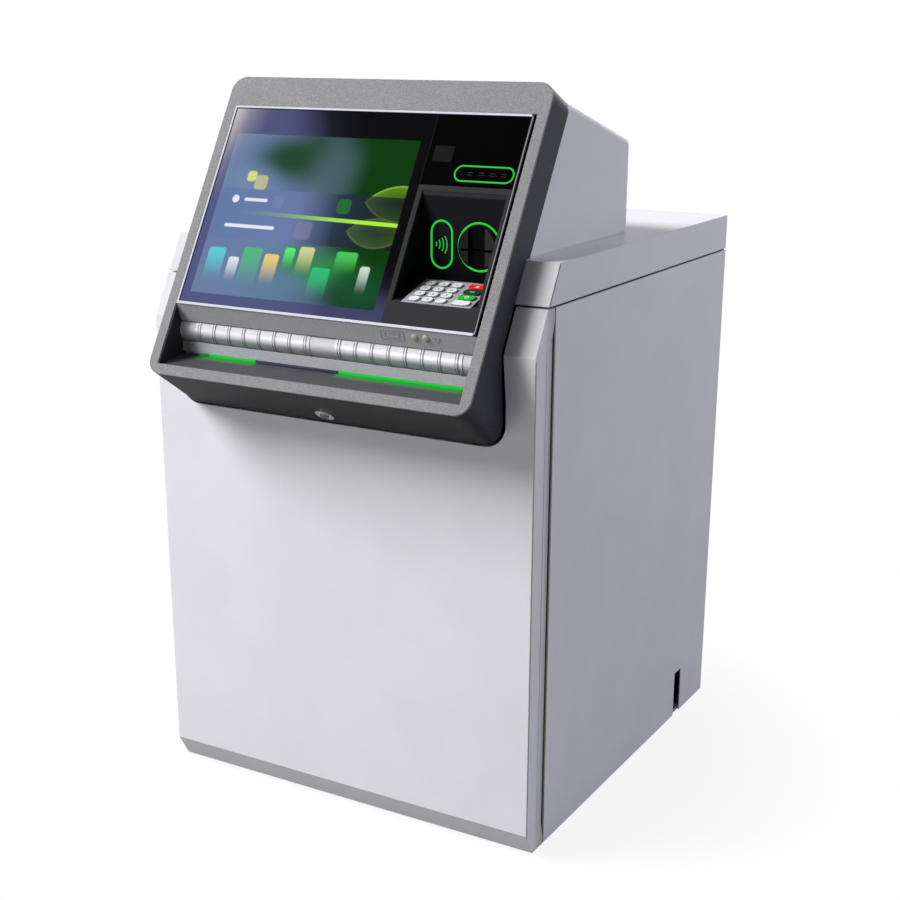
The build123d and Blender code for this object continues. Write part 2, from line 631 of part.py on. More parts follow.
# ------------------------------------------------------------------ recess
LIP_Y, LIP_Z = face_point(RECESS_FOOT, 0)
BACK_WALL_Y = face_point(RECESS_HEAD, 0)[0] + 1.0
RECESS_TOP_Z = face_point(RECESS_HEAD, 0)[1]
TILT = radians(KEYPAD_TILT)
KEY_PLANE = Plane(origin=(0, LIP_Y, LIP_Z), x_dir=(1, 0, 0), z_dir=(0, -sin(TILT), cos(TILT)))
FLOOR_REAR_Z = LIP_Z + (BACK_WALL_Y - LIP_Y) * tan(TILT)
READER_Z = above(READER_HEIGHT)


def key_block(x0, x1, v0, v1, w0, w1):
    """Box in the keypad's own directions: v to the rear, w out of the plate."""
    return KEY_PLANE.location * block(x0, x1, v0, v1, w0, w1)


def pin_recess():
    wall = RECESS_WALL
    frame = face_block(SPLIT_X + JOINT_GAP / 2, INNER_RIGHT, INNER_FOOT, SPLIT_HEAD - JOINT_GAP / 2,
                       GLASS_BACK, FACE_PLATE)
    edge_y, edge_z = face_point(RECESS_FOOT - wall, GLASS_BACK)
    head_y, head_z = face_point(RECESS_HEAD + wall, GLASS_BACK)
    drop = wall / cos(TILT)
    shell = [(edge_y, edge_z), (head_y, head_z), (BACK_WALL_Y + wall, head_z),
             (BACK_WALL_Y + wall, FLOOR_REAR_Z - drop), (LIP_Y + wall, LIP_Z - drop)]
    hollow = [(LIP_Y - 40, LIP_Z), (LIP_Y, LIP_Z), (BACK_WALL_Y, FLOOR_REAR_Z),
              (BACK_WALL_Y, RECESS_TOP_Z), (LIP_Y - 40, RECESS_TOP_Z)]
    recess = frame + side_prism(shell, RECESS_LEFT - wall, RECESS_RIGHT + wall)
    recess -= side_prism(hollow, RECESS_LEFT, RECESS_RIGHT)
    recess -= key_block(KEYPAD_LEFT - KEY_GAP, KEYPAD_RIGHT + KEY_GAP, KEYPAD_FRONT - KEY_GAP,
                        KEYPAD_FRONT + KEYPAD_LENGTH + KEY_GAP, -3 * wall, 10)
    recess -= rod_y(CARD_X, READER_Z, CARD_BOSS + KEY_GAP, BACK_WALL_Y - 1, BACK_WALL_Y + wall + 1)
    tap_width = TAP_RING_WIDTH - 2 * RING_STROKE
    tap_height = TAP_RING_HEIGHT - 2 * RING_STROKE
    recess -= stadium_y(TAP_X, READER_Z, tap_width, tap_height,
                        BACK_WALL_Y - 1, BACK_WALL_Y + wall + 1)
    return recess


def contactless_reader():
    """Tap antenna: a pad in the recess's back wall, with its board housing behind."""
    width = TAP_RING_WIDTH - 2 * RING_STROKE - 2 * KEY_GAP
    height = TAP_RING_HEIGHT - 2 * RING_STROKE - 2 * KEY_GAP
    y = BACK_WALL_Y + RECESS_WALL
    pad = stadium_y(TAP_X, READER_Z, width, height, BACK_WALL_Y - RING_PROUD / 2, y)
    half = TAP_RING_WIDTH / 2
    housing = block(TAP_X - half, CARD_X - CARD_BOSS - 4, y, y + TAP_BODY_DEPTH,
                    READER_Z - TAP_RING_HEIGHT / 2, READER_Z + TAP_RING_HEIGHT / 2 - 10)
    return pad + housing


def card_reader():
    """Card mouth: a round boss with a finger channel and the card's slot, reader body behind."""
    y0 = BACK_WALL_Y - CARD_PROUD
    y1 = BACK_WALL_Y + RECESS_WALL
    boss = rod_y(CARD_X, READER_Z, CARD_BOSS, y0, y1)
    boss -= block(CARD_X - FINGER_WIDTH / 2, CARD_X + FINGER_WIDTH / 2, y0 - 1, y0 + FINGER_DEPTH,
                  READER_Z - 2 * CARD_BOSS, READER_Z + 2 * CARD_BOSS)
    body = block(CARD_X - CARD_BODY_WIDTH / 2, CARD_X + CARD_BODY_WIDTH / 2, y1,
                 y1 + CARD_BODY_LENGTH, READER_Z - CARD_BODY_HEIGHT / 2 - CARD_SLOT_DROP,
                 READER_Z + CARD_BODY_HEIGHT / 2 - CARD_SLOT_DROP)
    slot_z = READER_Z - CARD_SLOT_DROP
    slot = block(CARD_X - CARD_SLOT_WIDTH / 2, CARD_X + CARD_SLOT_WIDTH / 2, y0 - 1, y1 + 90,
                 slot_z - CARD_SLOT_HEIGHT / 2, slot_z + CARD_SLOT_HEIGHT / 2)
    return boss + body - slot


# ------------------------------------------------------------------ keypad
KEY_GRID = (
    ("key_1", "key_2", "key_3", "key_cancel"),
    ("key_4", "key_5", "key_6", "key_clear"),
    ("key_7", "key_8", "key_9", "key_enter"),
    ("key_blank_left", "key_0", "key_blank_right", "key_blank_wide"),
)


def key_places():
    """Each key's middle on the plate, and its width: three narrow columns and a wide one."""
    places = {}
    for row, names in enumerate(reversed(KEY_GRID)):
        v = KEY_LAST_ROW + row * KEY_ROW_PITCH
        for column, name in enumerate(names[:-1]):
            places[name] = (KEY_FIRST_COLUMN + column * KEY_PITCH, v, KEY_WIDTH)
        places[names[-1]] = (KEY_WIDE_COLUMN, v, KEY_WIDE)
    return places


KEYS = key_places()


def key_outline(name, gap):
    """(x0, x1, v0, v1) of a key's cap, or of its hole with the gap."""
    x, v, width = KEYS[name]
    half = width / 2 + gap
    return x - half, x + half, v - KEY_LENGTH / 2 - gap, v + KEY_LENGTH / 2 + gap


def keypad_plate():
    plate = key_block(KEYPAD_LEFT, KEYPAD_RIGHT, KEYPAD_FRONT, KEYPAD_FRONT + KEYPAD_LENGTH,
                      KEYPAD_PROUD - KEYPAD_PLATE, KEYPAD_PROUD)
    for name in KEYS:
        plate -= key_block(*key_outline(name, KEY_GAP), -KEYPAD_PLATE * 2, KEYPAD_PLATE * 2)
    return plate


def key(name):
    top = KEYPAD_PROUD + KEY_PROUD
    cap = key_block(*key_outline(name, 0), top - KEY_BODY, top)
    return chamfer(cap.faces().sort_by(Axis((0, 0, 0), KEY_PLANE.z_dir))[-1].edges(), 0.8)


def keypad_housing():
    """Sealed keypad body, with a well below each key."""
    top = KEYPAD_PROUD - KEYPAD_PLATE
    inset = 2.0
    body = key_block(KEYPAD_LEFT + inset, KEYPAD_RIGHT - inset, KEYPAD_FRONT + inset,
                     KEYPAD_FRONT + KEYPAD_LENGTH - inset, top - KEYPAD_BODY, top)
    well_floor = KEYPAD_PROUD + KEY_PROUD - KEY_BODY - KEY_TRAVEL - KEY_GAP
    for name in KEYS:
        body -= key_block(*key_outline(name, KEY_GAP), well_floor, top + 1)
    return body


# ------------------------------------------------------------------ note slot
DRUM_Y, DRUM_Z = face_point(DRUM_HEIGHT, DRUM_BACK)
RIB_RADIUS = DRUM_RADIUS + RIB_PROUD
CLEAR_RADIUS = RIB_RADIUS + POCKET_CLEAR
LEDGE_TOP = -CLEAR_RADIUS * 0.70
LEDGE_FRONT = -CLEAR_RADIUS * 0.72
LEDGE_FOOT = LEDGE_TOP - LEDGE_FALL
POCKET_REAR = CLEAR_RADIUS + 1.0


def at_drum(y, z):
    return (DRUM_Y + y, DRUM_Z + z)


def shutter(side):
    """Ribbed rotary shutter, with the notes' mouth straight through it."""
    drum = rod_x(DRUM_Y, DRUM_Z, DRUM_RADIUS, DRUM_INNER, DRUM_OUTER)
    for rib in range(RIB_COUNT):
        x = RIB_FIRST + rib * RIB_PITCH
        drum += rod_x(DRUM_Y, DRUM_Z, RIB_RADIUS, x - RIB_WIDTH / 2, x + RIB_WIDTH / 2)
    for x in (DRUM_INNER, DRUM_OUTER):
        drum -= rod_x(DRUM_Y, DRUM_Z, JOURNAL_RADIUS + RUNNING_FIT,
                      x - JOURNAL_LENGTH - 1, x + JOURNAL_LENGTH + 1)
    drum -= block(DRUM_INNER + NOTE_MOUTH_INSET, DRUM_OUTER - NOTE_MOUTH_INSET,
                  DRUM_Y - NOTE_MOUTH / 2, DRUM_Y + NOTE_MOUTH / 2,
                  DRUM_Z - 2 * DRUM_RADIUS, DRUM_Z + 2 * DRUM_RADIUS)
    return drum if side > 0 else mirror(drum, about=Plane.YZ)


def pocket_outline():
    """(y, z) outline of the pocket's end walls."""
    depth = FACE_PLATE + FIT_GAP
    return [face_point(WINDOW_FOOT, depth), face_point(TRIM_FOOT - FIT_GAP, depth),
            face_point(TRIM_FOOT - FIT_GAP, depth + 1), at_drum(POCKET_REAR, CLEAR_RADIUS),
            at_drum(POCKET_REAR + POCKET_WALL, CLEAR_RADIUS),
            at_drum(POCKET_REAR + POCKET_WALL, LEDGE_FOOT - STRIP_HEIGHT - 2 * POCKET_WALL)]


def media_surround():
    """Pocket of the note slot: roof, ledge, tray, rear wall, end walls and the fixed hubs."""
    half = WINDOW_HALF
    roof_front = face_point(TRIM_FOOT - FIT_GAP, 1)
    roof_deep = face_point(TRIM_FOOT - FIT_GAP, FACE_PLATE + 1)
    roof_rear = face_point(DRUM_HEIGHT + CLEAR_RADIUS * 0.21, DRUM_BACK - CLEAR_RADIUS * 0.98)
    roof_back = face_point(DRUM_HEIGHT + CLEAR_RADIUS * 0.34, DRUM_BACK - CLEAR_RADIUS * 0.95)
    surround = side_prism([roof_front, roof_rear, roof_back, roof_deep], -half, half)
    rear = POCKET_REAR
    tray_top = LEDGE_FOOT - STRIP_HEIGHT - 2 * KEY_GAP
    ledge = [at_drum(LEDGE_FRONT, LEDGE_TOP), at_drum(LEDGE_FRONT - 1, LEDGE_FOOT),
             at_drum(LEDGE_FRONT + STRIP_DEPTH + KEY_GAP, LEDGE_FOOT),
             at_drum(LEDGE_FRONT + STRIP_DEPTH + KEY_GAP, tray_top),
             at_drum(rear + POCKET_WALL, tray_top), at_drum(rear + POCKET_WALL, CLEAR_RADIUS),
             at_drum(rear, CLEAR_RADIUS), at_drum(rear, -CLEAR_RADIUS - 1),
             at_drum(0, -CLEAR_RADIUS - 1), at_drum(-CLEAR_RADIUS / 2, -CLEAR_RADIUS * 0.88)]
    surround += side_prism(ledge, -half, half)
    tray = [face_point(WINDOW_FOOT, FACE_PLATE + FIT_GAP), at_drum(LEDGE_FRONT, tray_top),
            at_drum(rear + POCKET_WALL, tray_top), at_drum(rear + POCKET_WALL, tray_top - POCKET_WALL),
            at_drum(LEDGE_FRONT, tray_top - POCKET_WALL),
            face_point(WINDOW_FOOT - POCKET_WALL, FACE_PLATE + FIT_GAP)]
    surround += side_prism(tray, -half, half)
    lug = FACE_PLATE + CARRIER
    for side in (-1, 1):
        x0, x1 = sorted((side * half, side * (half + POCKET_WALL)))
        surround += side_prism(pocket_outline(), x0, x1)
        x0, x1 = sorted((side * half, side * (half + 4 * POCKET_WALL)))
        surround += face_block(x0, x1, 2 * WINDOW_FOOT, TRIM_FOOT - WINDOW_FOOT, lug, lug + POCKET_WALL)
    for x0, x1 in ((-half, -DRUM_OUTER - DRUM_GAP), (-DRUM_INNER + DRUM_GAP, DRUM_INNER - DRUM_GAP),
                   (DRUM_OUTER + DRUM_GAP, half)):
        surround += rod_x(DRUM_Y, DRUM_Z, HUB_RADIUS, x0, x1)
        surround += block(x0, x1, DRUM_Y, DRUM_Y + rear + 1, DRUM_Z - JOURNAL_RADIUS,
                          DRUM_Z + JOURNAL_RADIUS)
    for x in (DRUM_INNER, DRUM_OUTER):
        for side in (-1, 1):
            surround += rod_x(DRUM_Y, DRUM_Z, JOURNAL_RADIUS, side * x - JOURNAL_LENGTH,
                              side * x + JOURNAL_LENGTH)
    return surround


def light_strip(x0, x1):
    top = DRUM_Z + LEDGE_FOOT - KEY_GAP
    y = DRUM_Y + LEDGE_FRONT
    return block(x0 + KEY_GAP / 2, x1 - KEY_GAP / 2, y, y + STRIP_DEPTH, top - STRIP_HEIGHT, top)


def light_guides():
    """Light rings of the two readers and the receipt slot, and the strip of the note slot."""
    y0 = BACK_WALL_Y - RING_PROUD
    card = rod_y(CARD_X, READER_Z, CARD_RING, y0, BACK_WALL_Y)
    card -= rod_y(CARD_X, READER_Z, CARD_RING - RING_STROKE, y0 - 1, BACK_WALL_Y + 1)
    tap = stadium_y(TAP_X, READER_Z, TAP_RING_WIDTH, TAP_RING_HEIGHT, y0, BACK_WALL_Y)
    tap -= stadium_y(TAP_X, READER_Z, TAP_RING_WIDTH - 2 * RING_STROKE,
                     TAP_RING_HEIGHT - 2 * RING_STROKE, y0 - 1, BACK_WALL_Y + 1)
    stroke = RING_STROKE - 1
    place = FACE_OUTWARD.location * Pos(RECEIPT_X, RECEIPT_HEIGHT, -GLASS_BACK)
    ring = SlotOverall(RECEIPT_RING_LENGTH, RECEIPT_RING_WIDTH)
    ring -= SlotOverall(RECEIPT_RING_LENGTH - 2 * stroke, RECEIPT_RING_WIDTH - 2 * stroke)
    receipt = extrude(place * ring, RING_PROUD)
    strips = [light_strip(STRIP_LEFT, STRIP_DARK_LEFT), light_strip(STRIP_DARK_LEFT, STRIP_DARK_RIGHT),
              light_strip(STRIP_DARK_RIGHT, STRIP_RIGHT)]
    return Compound(children=[card, tap, receipt] + strips)


# ------------------------------------------------------------------ chin lock
def lock_collar():
    depth = LOCK_BODY
    collar = Pos(0, 0, LOCK_COLLAR_PROUD / 2) * Cylinder(LOCK_COLLAR, LOCK_COLLAR_PROUD)
    collar += Pos(0, 0, -depth / 2) * Cylinder(LOCK_PLUG + 1.7, depth)
    collar -= Pos(0, 0, -depth / 2 + LOCK_COLLAR_PROUD) * Cylinder(
        LOCK_PLUG + RUNNING_FIT, depth + 2 * LOCK_COLLAR_PROUD - 2)
    return lock_place() * collar


def lock_plug():
    """Keyed plug, with its key slit."""
    depth = LOCK_BODY - 4
    plug = Pos(0, 0, (LOCK_PLUG_PROUD - depth) / 2) * Cylinder(LOCK_PLUG, LOCK_PLUG_PROUD + depth)
    slit = Pos(0, 0, LOCK_PLUG_PROUD) * Box(1.6, LOCK_PLUG * 1.2, LOCK_PLUG)
    return lock_place() * (plug - slit)


# ------------------------------------------------------------------ front door
def body_half(depth):
    """Half the fascia body's width at a depth behind its face."""
    return FACE_WIDTH / 2 + depth * tan(radians(BODY_DRAFT))


def chin_depth(height):
    """Depth behind the face of a point on the door's front at a height."""
    distance = FASCIA_REACH + slant(height)
    return distance * LEAN_COS - (height - FACE_FOOT) * LEAN_SIN


def chin_bottom():
    """Height at which the chin's underside meets the door's face."""
    lean = radians(FACE_LEAN + BODY_DRAFT)
    return FACE_FOOT - FASCIA_REACH * tan(lean)


def notch_line(outset):
    """Closed x-z line of the door's notch: upright beside the chin, drawn in at the bend."""
    foot = chin_bottom()
    wide = body_half(chin_depth(foot)) + NOTCH_GAP + outset
    narrow = body_half(chin_depth(DOOR_BEND)) + NOTCH_GAP + outset
    corner = FACE_CORNER + chin_depth(foot) * tan(radians(BODY_DRAFT)) + NOTCH_GAP
    low = above(foot - NOTCH_GAP - outset)
    points = [(-wide, low), (wide, low), (wide, above(FACE_FOOT)), (narrow, above(DOOR_BEND)),
              (narrow, above(COVER_TOP)), (-narrow, above(COVER_TOP)), (-narrow, above(DOOR_BEND)),
              (-wide, above(FACE_FOOT))]
    outline = make_face(Polyline(*points, close=True))
    lowest = outline.vertices().sort_by(Axis.Y)[:2]
    return fillet(lowest, corner + outset).face().outer_wire()


def door_outline(inset):
    """(y, z) outline of the door's pan, moved in by an inset and open to the rear if inset."""
    lean = radians(DOOR_LEAN)
    foot = above(0) + inset
    top = above(SEAM_HEIGHT - SEAM_GAP / 2) - inset
    rear = behind(DOOR_DEPTH) + inset
    toe = hypot(TOE_RISE, TOE_RUN)
    toe_shift = inset * (toe - TOE_RUN) / TOE_RISE
    run_shift = inset * (toe - TOE_RISE) / TOE_RUN
    bend_shift = inset * (1 - cos(lean)) / sin(lean)
    top_y = behind(slant(SEAM_HEIGHT - SEAM_GAP / 2)) + inset / cos(lean) - inset * tan(lean)
    face_y = behind(0) + inset
    return [(face_y, above(TOE_RISE) + toe_shift), (face_y, above(DOOR_BEND) - bend_shift),
            (top_y, top), (rear, top), (rear, foot), (behind(TOE_RUN) + run_shift, foot)]


def grip_cut():
    """Wedge that bevels the right rear edge of the door, with sloping ends."""
    y1 = behind(DOOR_DEPTH)
    low = above(GRIP_FOOT)
    high = above(SEAM_HEIGHT - SEAM_GAP / 2 - GRIP_HEAD)
    wedges = []
    for z, share in ((low, 0.02), (low + GRIP_WIDTH, 1), (high - GRIP_WIDTH, 1), (high, 0.02)):
        triangle = make_face(Polyline((HALF + 1, y1 - GRIP_WIDTH * share - 1.6 * share),
                                      (HALF + 1, y1 + 1), (HALF - GRIP_INSET * share - 0.6 * share, y1 + 1),
                                      close=True))
        wedges.append(Pos(0, 0, z) * triangle)
    cut = loft(wedges[0:2], ruled=True) + loft(wedges[1:3], ruled=True) + loft(wedges[2:4], ruled=True)
    return cut


def ear_cut():
    """What the door leaves out on its hinge side, so that it turns clear of the fascia body."""
    x = -HALF + HINGE_INSET
    y = behind(HINGE_SETBACK)
    top = SEAM_HEIGHT - SEAM_GAP / 2
    depth = (FASCIA_REACH + HINGE_SETBACK) * LEAN_COS - (top - FACE_FOOT) * LEAN_SIN
    radius = -x - body_half(depth) - EAR_CLEARANCE
    ear = block(x, -FACE_WIDTH / 2 + FACE_CORNER, y, behind(DOOR_DEPTH + 1),
                above(chin_bottom()), above(top + 1))
    return ear - rod_z(x, y, radius, above(chin_bottom() - 1), above(top + 2))


def door_skin():
    pan = side_prism(door_outline(0), -HALF, HALF)
    pan -= side_prism(door_outline(SHEET), -HALF + SHEET, HALF - SHEET)
    foot = above(GRIP_FOOT / 2)
    head = above(SEAM_HEIGHT - SEAM_GAP / 2 - GRIP_HEAD / 2)
    bar_front = behind(DOOR_DEPTH - GRIP_WIDTH - SHEET)
    bar = block(HALF - GRIP_BAR, HALF - SHEET, bar_front, behind(DOOR_DEPTH), foot, head)
    pan += bar
    pan += mirror(bar, about=Plane.YZ)
    cut = grip_cut()
    pan -= cut
    pan -= mirror(cut, about=Plane.YZ)
    for height in HINGE_HEIGHTS:
        low = above(height - KNUCKLE_HEIGHT)
        high = above(height + HINGE_HEIGHT + KNUCKLE_HEIGHT)
        pan -= block(-HALF + SHEET, -HALF + GRIP_BAR + 1, bar_front - 1, behind(DOOR_DEPTH) + 1, low, high)
    envelope = side_prism(door_outline(0), -HALF, HALF)
    envelope &= block(-HALF, HALF, behind(-1), behind(slant(SEAM_HEIGHT) + 2 * SHEET), 0, above(COVER_TOP))
    flange = (front_prism(notch_line(SHEET), behind(-1), behind(DOOR_DEPTH)) & envelope)
    hinge_side = -FACE_WIDTH / 2 + FACE_CORNER
    flange -= block(-HALF - 1, hinge_side, behind(SHEET), behind(DOOR_DEPTH) + 1, 0, above(COVER_TOP))
    notch = front_prism(notch_line(0), behind(-2), behind(DOOR_DEPTH + 1))
    return pan + flange - notch - ear_cut()


def door_frame():
    """Stiffening ribs inside the door, and the knuckles that carry it on its pins."""
    y0 = behind(SHEET)
    y1 = behind(SHEET + DOOR_RIB_DEPTH)
    low = above(DOOR_RIB_HEIGHTS[0])
    high = above(DOOR_RIB_HEIGHTS[-1])
    right = HALF - DOOR_RIB_SIDE
    left = -HALF + HINGE_INSET + 2 * HINGE_REACH
    frame = Part()
    for x0 in (left - DOOR_RIB_WIDTH, right):
        frame += block(x0, x0 + DOOR_RIB_WIDTH, y0, y1, low, high)
        frame -= block(x0 + SHEET, x0 + DOOR_RIB_WIDTH - SHEET, y0 + SHEET, y1 + 1,
                       low + SHEET, high - SHEET)
    for height in DOOR_RIB_HEIGHTS:
        z = above(height)
        frame += block(left, right, y0, y1, z - DOOR_RIB_WIDTH / 2, z + DOOR_RIB_WIDTH / 2)
        frame -= block(left + SHEET, right - SHEET, y0 + SHEET, y1 + 1,
                       z - DOOR_RIB_WIDTH / 2 + SHEET, z + DOOR_RIB_WIDTH / 2 - SHEET)
    axis_x = -HALF + HINGE_INSET
    axis_y = behind(HINGE_SETBACK)
    for height in HINGE_HEIGHTS:
        for z0 in (height - KNUCKLE_HEIGHT - FIT_GAP, height + HINGE_HEIGHT + FIT_GAP):
            knuckle = block(-HALF + SHEET, axis_x + HINGE_EYE, y0, axis_y + HINGE_EYE,
                            above(z0), above(z0 + KNUCKLE_HEIGHT))
            knuckle -= rod_z(axis_x, axis_y, HINGE_PIN + RUNNING_FIT, above(z0 - 1),
                             above(z0 + KNUCKLE_HEIGHT + 1))
            frame += knuckle
    return frame


def door_hinges():
    """Gooseneck arms bolted to the safe's front frame, with the front door's pins."""
    axis_x = -HALF + HINGE_INSET
    axis_y = behind(HINGE_SETBACK)
    far = axis_x + HINGE_REACH
    hinges = Part()
    for height in HINGE_HEIGHTS:
        z0 = above(height)
        z1 = above(height + HINGE_HEIGHT)
        arm = rod_z(axis_x, axis_y, HINGE_EYE, z0, z1)
        arm += block(axis_x, far + HINGE_ARM, axis_y - HINGE_ARM / 2, axis_y + HINGE_ARM / 2, z0, z1)
        arm += block(far, far + HINGE_ARM, axis_y, behind(SAFE_FRONT), z0, z1)
        arm += block(far - 2 * HINGE_ARM, far + HINGE_ARM, behind(SAFE_FRONT) - HINGE_ARM,
                     behind(SAFE_FRONT), z0 - HINGE_HEIGHT, z1 + HINGE_HEIGHT)
        arm += rod_z(axis_x, axis_y, HINGE_PIN, z0 - KNUCKLE_HEIGHT - FIT_GAP,
                     z1 + KNUCKLE_HEIGHT + FIT_GAP)
        hinges += arm
    return hinges


# ------------------------------------------------------------------ safe
SAFE_HALF = HALF - SAFE_SIDE_GAP
MOUTH_HALF = SAFE_HALF - SAFE_MOUTH_SIDE
SAFE_AXIS_X = -MOUTH_HALF - SAFE_AXIS_OUT
HANDLE_X = MOUTH_HALF - HANDLE_INSET
SAFE_FOOT = BASE_PLATE
MOUTH_FOOT = SAFE_FOOT + SAFE_MOUTH_FOOT
MOUTH_HEAD = SAFE_TOP - SAFE_MOUTH_FOOT
SAFE_REAR = SAFE_FRONT + SAFE_DEPTH
RACK_REAR = RACK_FRONT + RACK_LENGTH
SAFE_AXIS_Y = SAFE_FRONT - SAFE_DOOR_GAP - SAFE_DOOR_PLATE


def safe_body():
    box = block(-SAFE_HALF, SAFE_HALF, behind(SAFE_FRONT), behind(SAFE_REAR),
                above(SAFE_FOOT), above(SAFE_TOP))
    box -= block(-SAFE_HALF + SAFE_WALL, SAFE_HALF - SAFE_WALL, behind(SAFE_FRONT + SAFE_FRAME),
                 behind(SAFE_REAR - SAFE_WALL), above(SAFE_FOOT + SAFE_WALL), above(SAFE_TOP - SAFE_WALL))
    box -= block(-MOUTH_HALF, MOUTH_HALF, behind(SAFE_FRONT - 1), behind(SAFE_FRONT + SAFE_FRAME + 1),
                 above(MOUTH_FOOT), above(MOUTH_HEAD))
    for x in (-ANCHOR_SPACING_X / 2, ANCHOR_SPACING_X / 2):
        for y in (ANCHOR_FRONT, ANCHOR_FRONT + ANCHOR_SPACING_Y):
            box -= rod_z(x, behind(y), ANCHOR_RADIUS, above(SAFE_FOOT - 1), above(SAFE_FOOT + SAFE_WALL + 1))
    box -= block(-NOTE_PATH_HALF + 8, NOTE_PATH_HALF - 8, behind(RACK_REAR - PICK_DEPTH + 6),
                 behind(RACK_REAR - 6), above(SAFE_TOP - SAFE_WALL - 1), above(SAFE_TOP + 1))
    for height in SAFE_HINGES:
        z0 = above(height)
        z1 = above(height + SAFE_HINGE_HEIGHT)
        x0 = SAFE_AXIS_X - SAFE_KNUCKLE
        x1 = SAFE_AXIS_X + SAFE_KNUCKLE
        box += block(x0, x1, behind(SAFE_AXIS_Y), behind(SAFE_FRONT), z0, z1)
        box += rod_z(SAFE_AXIS_X, behind(SAFE_AXIS_Y), SAFE_KNUCKLE, z0, z1)
        box += rod_z(SAFE_AXIS_X, behind(SAFE_AXIS_Y), SAFE_PIN, z1, z1 + SAFE_HINGE_HEIGHT)
    return box


def bolt_box():
    """(x0, x1, y0, y1, z0, z1) of the boltwork box behind the safe door's plate."""
    y0 = behind(SAFE_FRONT - SAFE_DOOR_GAP)
    return (-MOUTH_HALF + BOLT_BOX_GAP, MOUTH_HALF - BOLT_BOX_GAP, y0, y0 + BOLT_BOX_DEPTH,
            above(MOUTH_FOOT + BOLT_BOX_GAP), above(MOUTH_HEAD - BOLT_BOX_GAP))


BOLT_Y = SAFE_FRONT + SAFE_FRAME + BOLT_RADIUS + 2.0


def safe_door():
    y0 = behind(SAFE_AXIS_Y)
    y1 = y0 + SAFE_DOOR_PLATE
    left = SAFE_AXIS_X + SAFE_KNUCKLE + SAFE_DOOR_GAP
    plate = block(left, MOUTH_HALF + SAFE_OVERLAP, y0, y1,
                  above(MOUTH_FOOT - SAFE_OVERLAP), above(MOUTH_HEAD + SAFE_OVERLAP))
    x0, x1, by0, by1, z0, z1 = bolt_box()
    box = block(x0, x1, by0, by1, z0, z1)
    box -= block(x0 + SHEET, x1 - SHEET, by0, by1 - SHEET, z0 + SHEET, z1 - SHEET)
    for height in BOLT_HEIGHTS:
        box -= rod_x(behind(BOLT_Y), above(height), BOLT_RADIUS + 2 * RUNNING_FIT, x1 - 10, x1 + 10)
    door = plate + box
    for height in SAFE_HINGES:
        z0 = above(height + SAFE_HINGE_HEIGHT) + FIT_GAP
        z1 = z0 + SAFE_HINGE_HEIGHT
        knuckle = block(SAFE_AXIS_X - SAFE_KNUCKLE, left + 1, y0 - SAFE_KNUCKLE, y0 + SAFE_KNUCKLE, z0, z1)
        knuckle -= rod_z(SAFE_AXIS_X, y0, SAFE_PIN + RUNNING_FIT, z0 - 1, z1 + 1)
        door += knuckle
    door -= rod_y(HANDLE_X, above(HANDLE_HEIGHT), SPINDLE_RADIUS + RUNNING_FIT, y0 - 1, y1 + 1)
    door += rod_y(HANDLE_X, above(HANDLE_HEIGHT + DIAL_RISE), DIAL_RADIUS, y0 - DIAL_DEPTH, y0)
    return door


def safe_handle():
    """Lever on its spindle, with the hub that drives the bolts."""
    y0 = behind(SAFE_AXIS_Y)
    z = above(HANDLE_HEIGHT)
    handle = rod_y(HANDLE_X, z, SPINDLE_RADIUS, y0 - 1, y0 + SAFE_DOOR_PLATE + 4)
    handle += rod_y(HANDLE_X, z, HANDLE_HUB, y0 - HANDLE_PROUD / 2, y0 - FIT_GAP)
    handle += rod_y(HANDLE_X, z, SPINDLE_RADIUS * 1.5, y0 - HANDLE_PROUD, y0 - HANDLE_PROUD / 2)
    handle += block(HANDLE_X, HANDLE_X + HANDLE_LEVER, y0 - HANDLE_PROUD, y0 - HANDLE_PROUD * 0.65,
                    z - SPINDLE_RADIUS, z + SPINDLE_RADIUS)
    return handle


def safe_bolts():
    """Three bolts on one carrier bar, shown drawn back."""
    x1 = bolt_box()[1] + SHEET
    x0 = x1 - BOLT_LENGTH
    y = behind(BOLT_Y)
    bolts = Part()
    for height in BOLT_HEIGHTS:
        bolts += rod_x(y, above(height), BOLT_RADIUS, x0, x1)
    bar_half = BOLT_RADIUS * 0.6
    bolts += block(x0, x0 + BOLT_RADIUS, y - bar_half, y + bar_half,
                   above(BOLT_HEIGHTS[0]) - BOLT_RADIUS, above(BOLT_HEIGHTS[-1]) + BOLT_RADIUS)
    return bolts


# ------------------------------------------------------------------ cassettes and note path
CASSETTE_FOOT = SAFE_FOOT + SAFE_WALL + 10.0
CASSETTE_HALF = RACK_HALF - RACK_PLATE - CASSETTE_SIDE_GAP


def cassette_level(index):
    return CASSETTE_FOOT + index * CASSETTE_PITCH


def cassette_rack():
    """Side plates with runners, and the pick column at the rear."""
    foot = SAFE_FOOT + SAFE_WALL
    head = SAFE_TOP - SAFE_WALL - 2.0
    rack = Part()
    for side in (-1, 1):
        x0, x1 = sorted((side * (RACK_HALF - RACK_PLATE), side * RACK_HALF))
        rack += block(x0, x1, behind(RACK_FRONT), behind(RACK_REAR), above(foot), above(head))
        x0, x1 = sorted((side * (RACK_HALF - RACK_PLATE - RUNNER_WIDTH), side * (RACK_HALF - RACK_PLATE)))
        for index in range(CASSETTE_COUNT + 1):
            z1 = above(cassette_level(index))
            rack += block(x0, x1, behind(RACK_FRONT + 4), behind(RACK_REAR - PICK_DEPTH), z1 - RACK_PLATE, z1)
    rack += block(-RACK_HALF + RACK_PLATE, RACK_HALF - RACK_PLATE, behind(RACK_REAR - PICK_DEPTH),
                  behind(RACK_REAR), above(foot), above(head))
    return rack


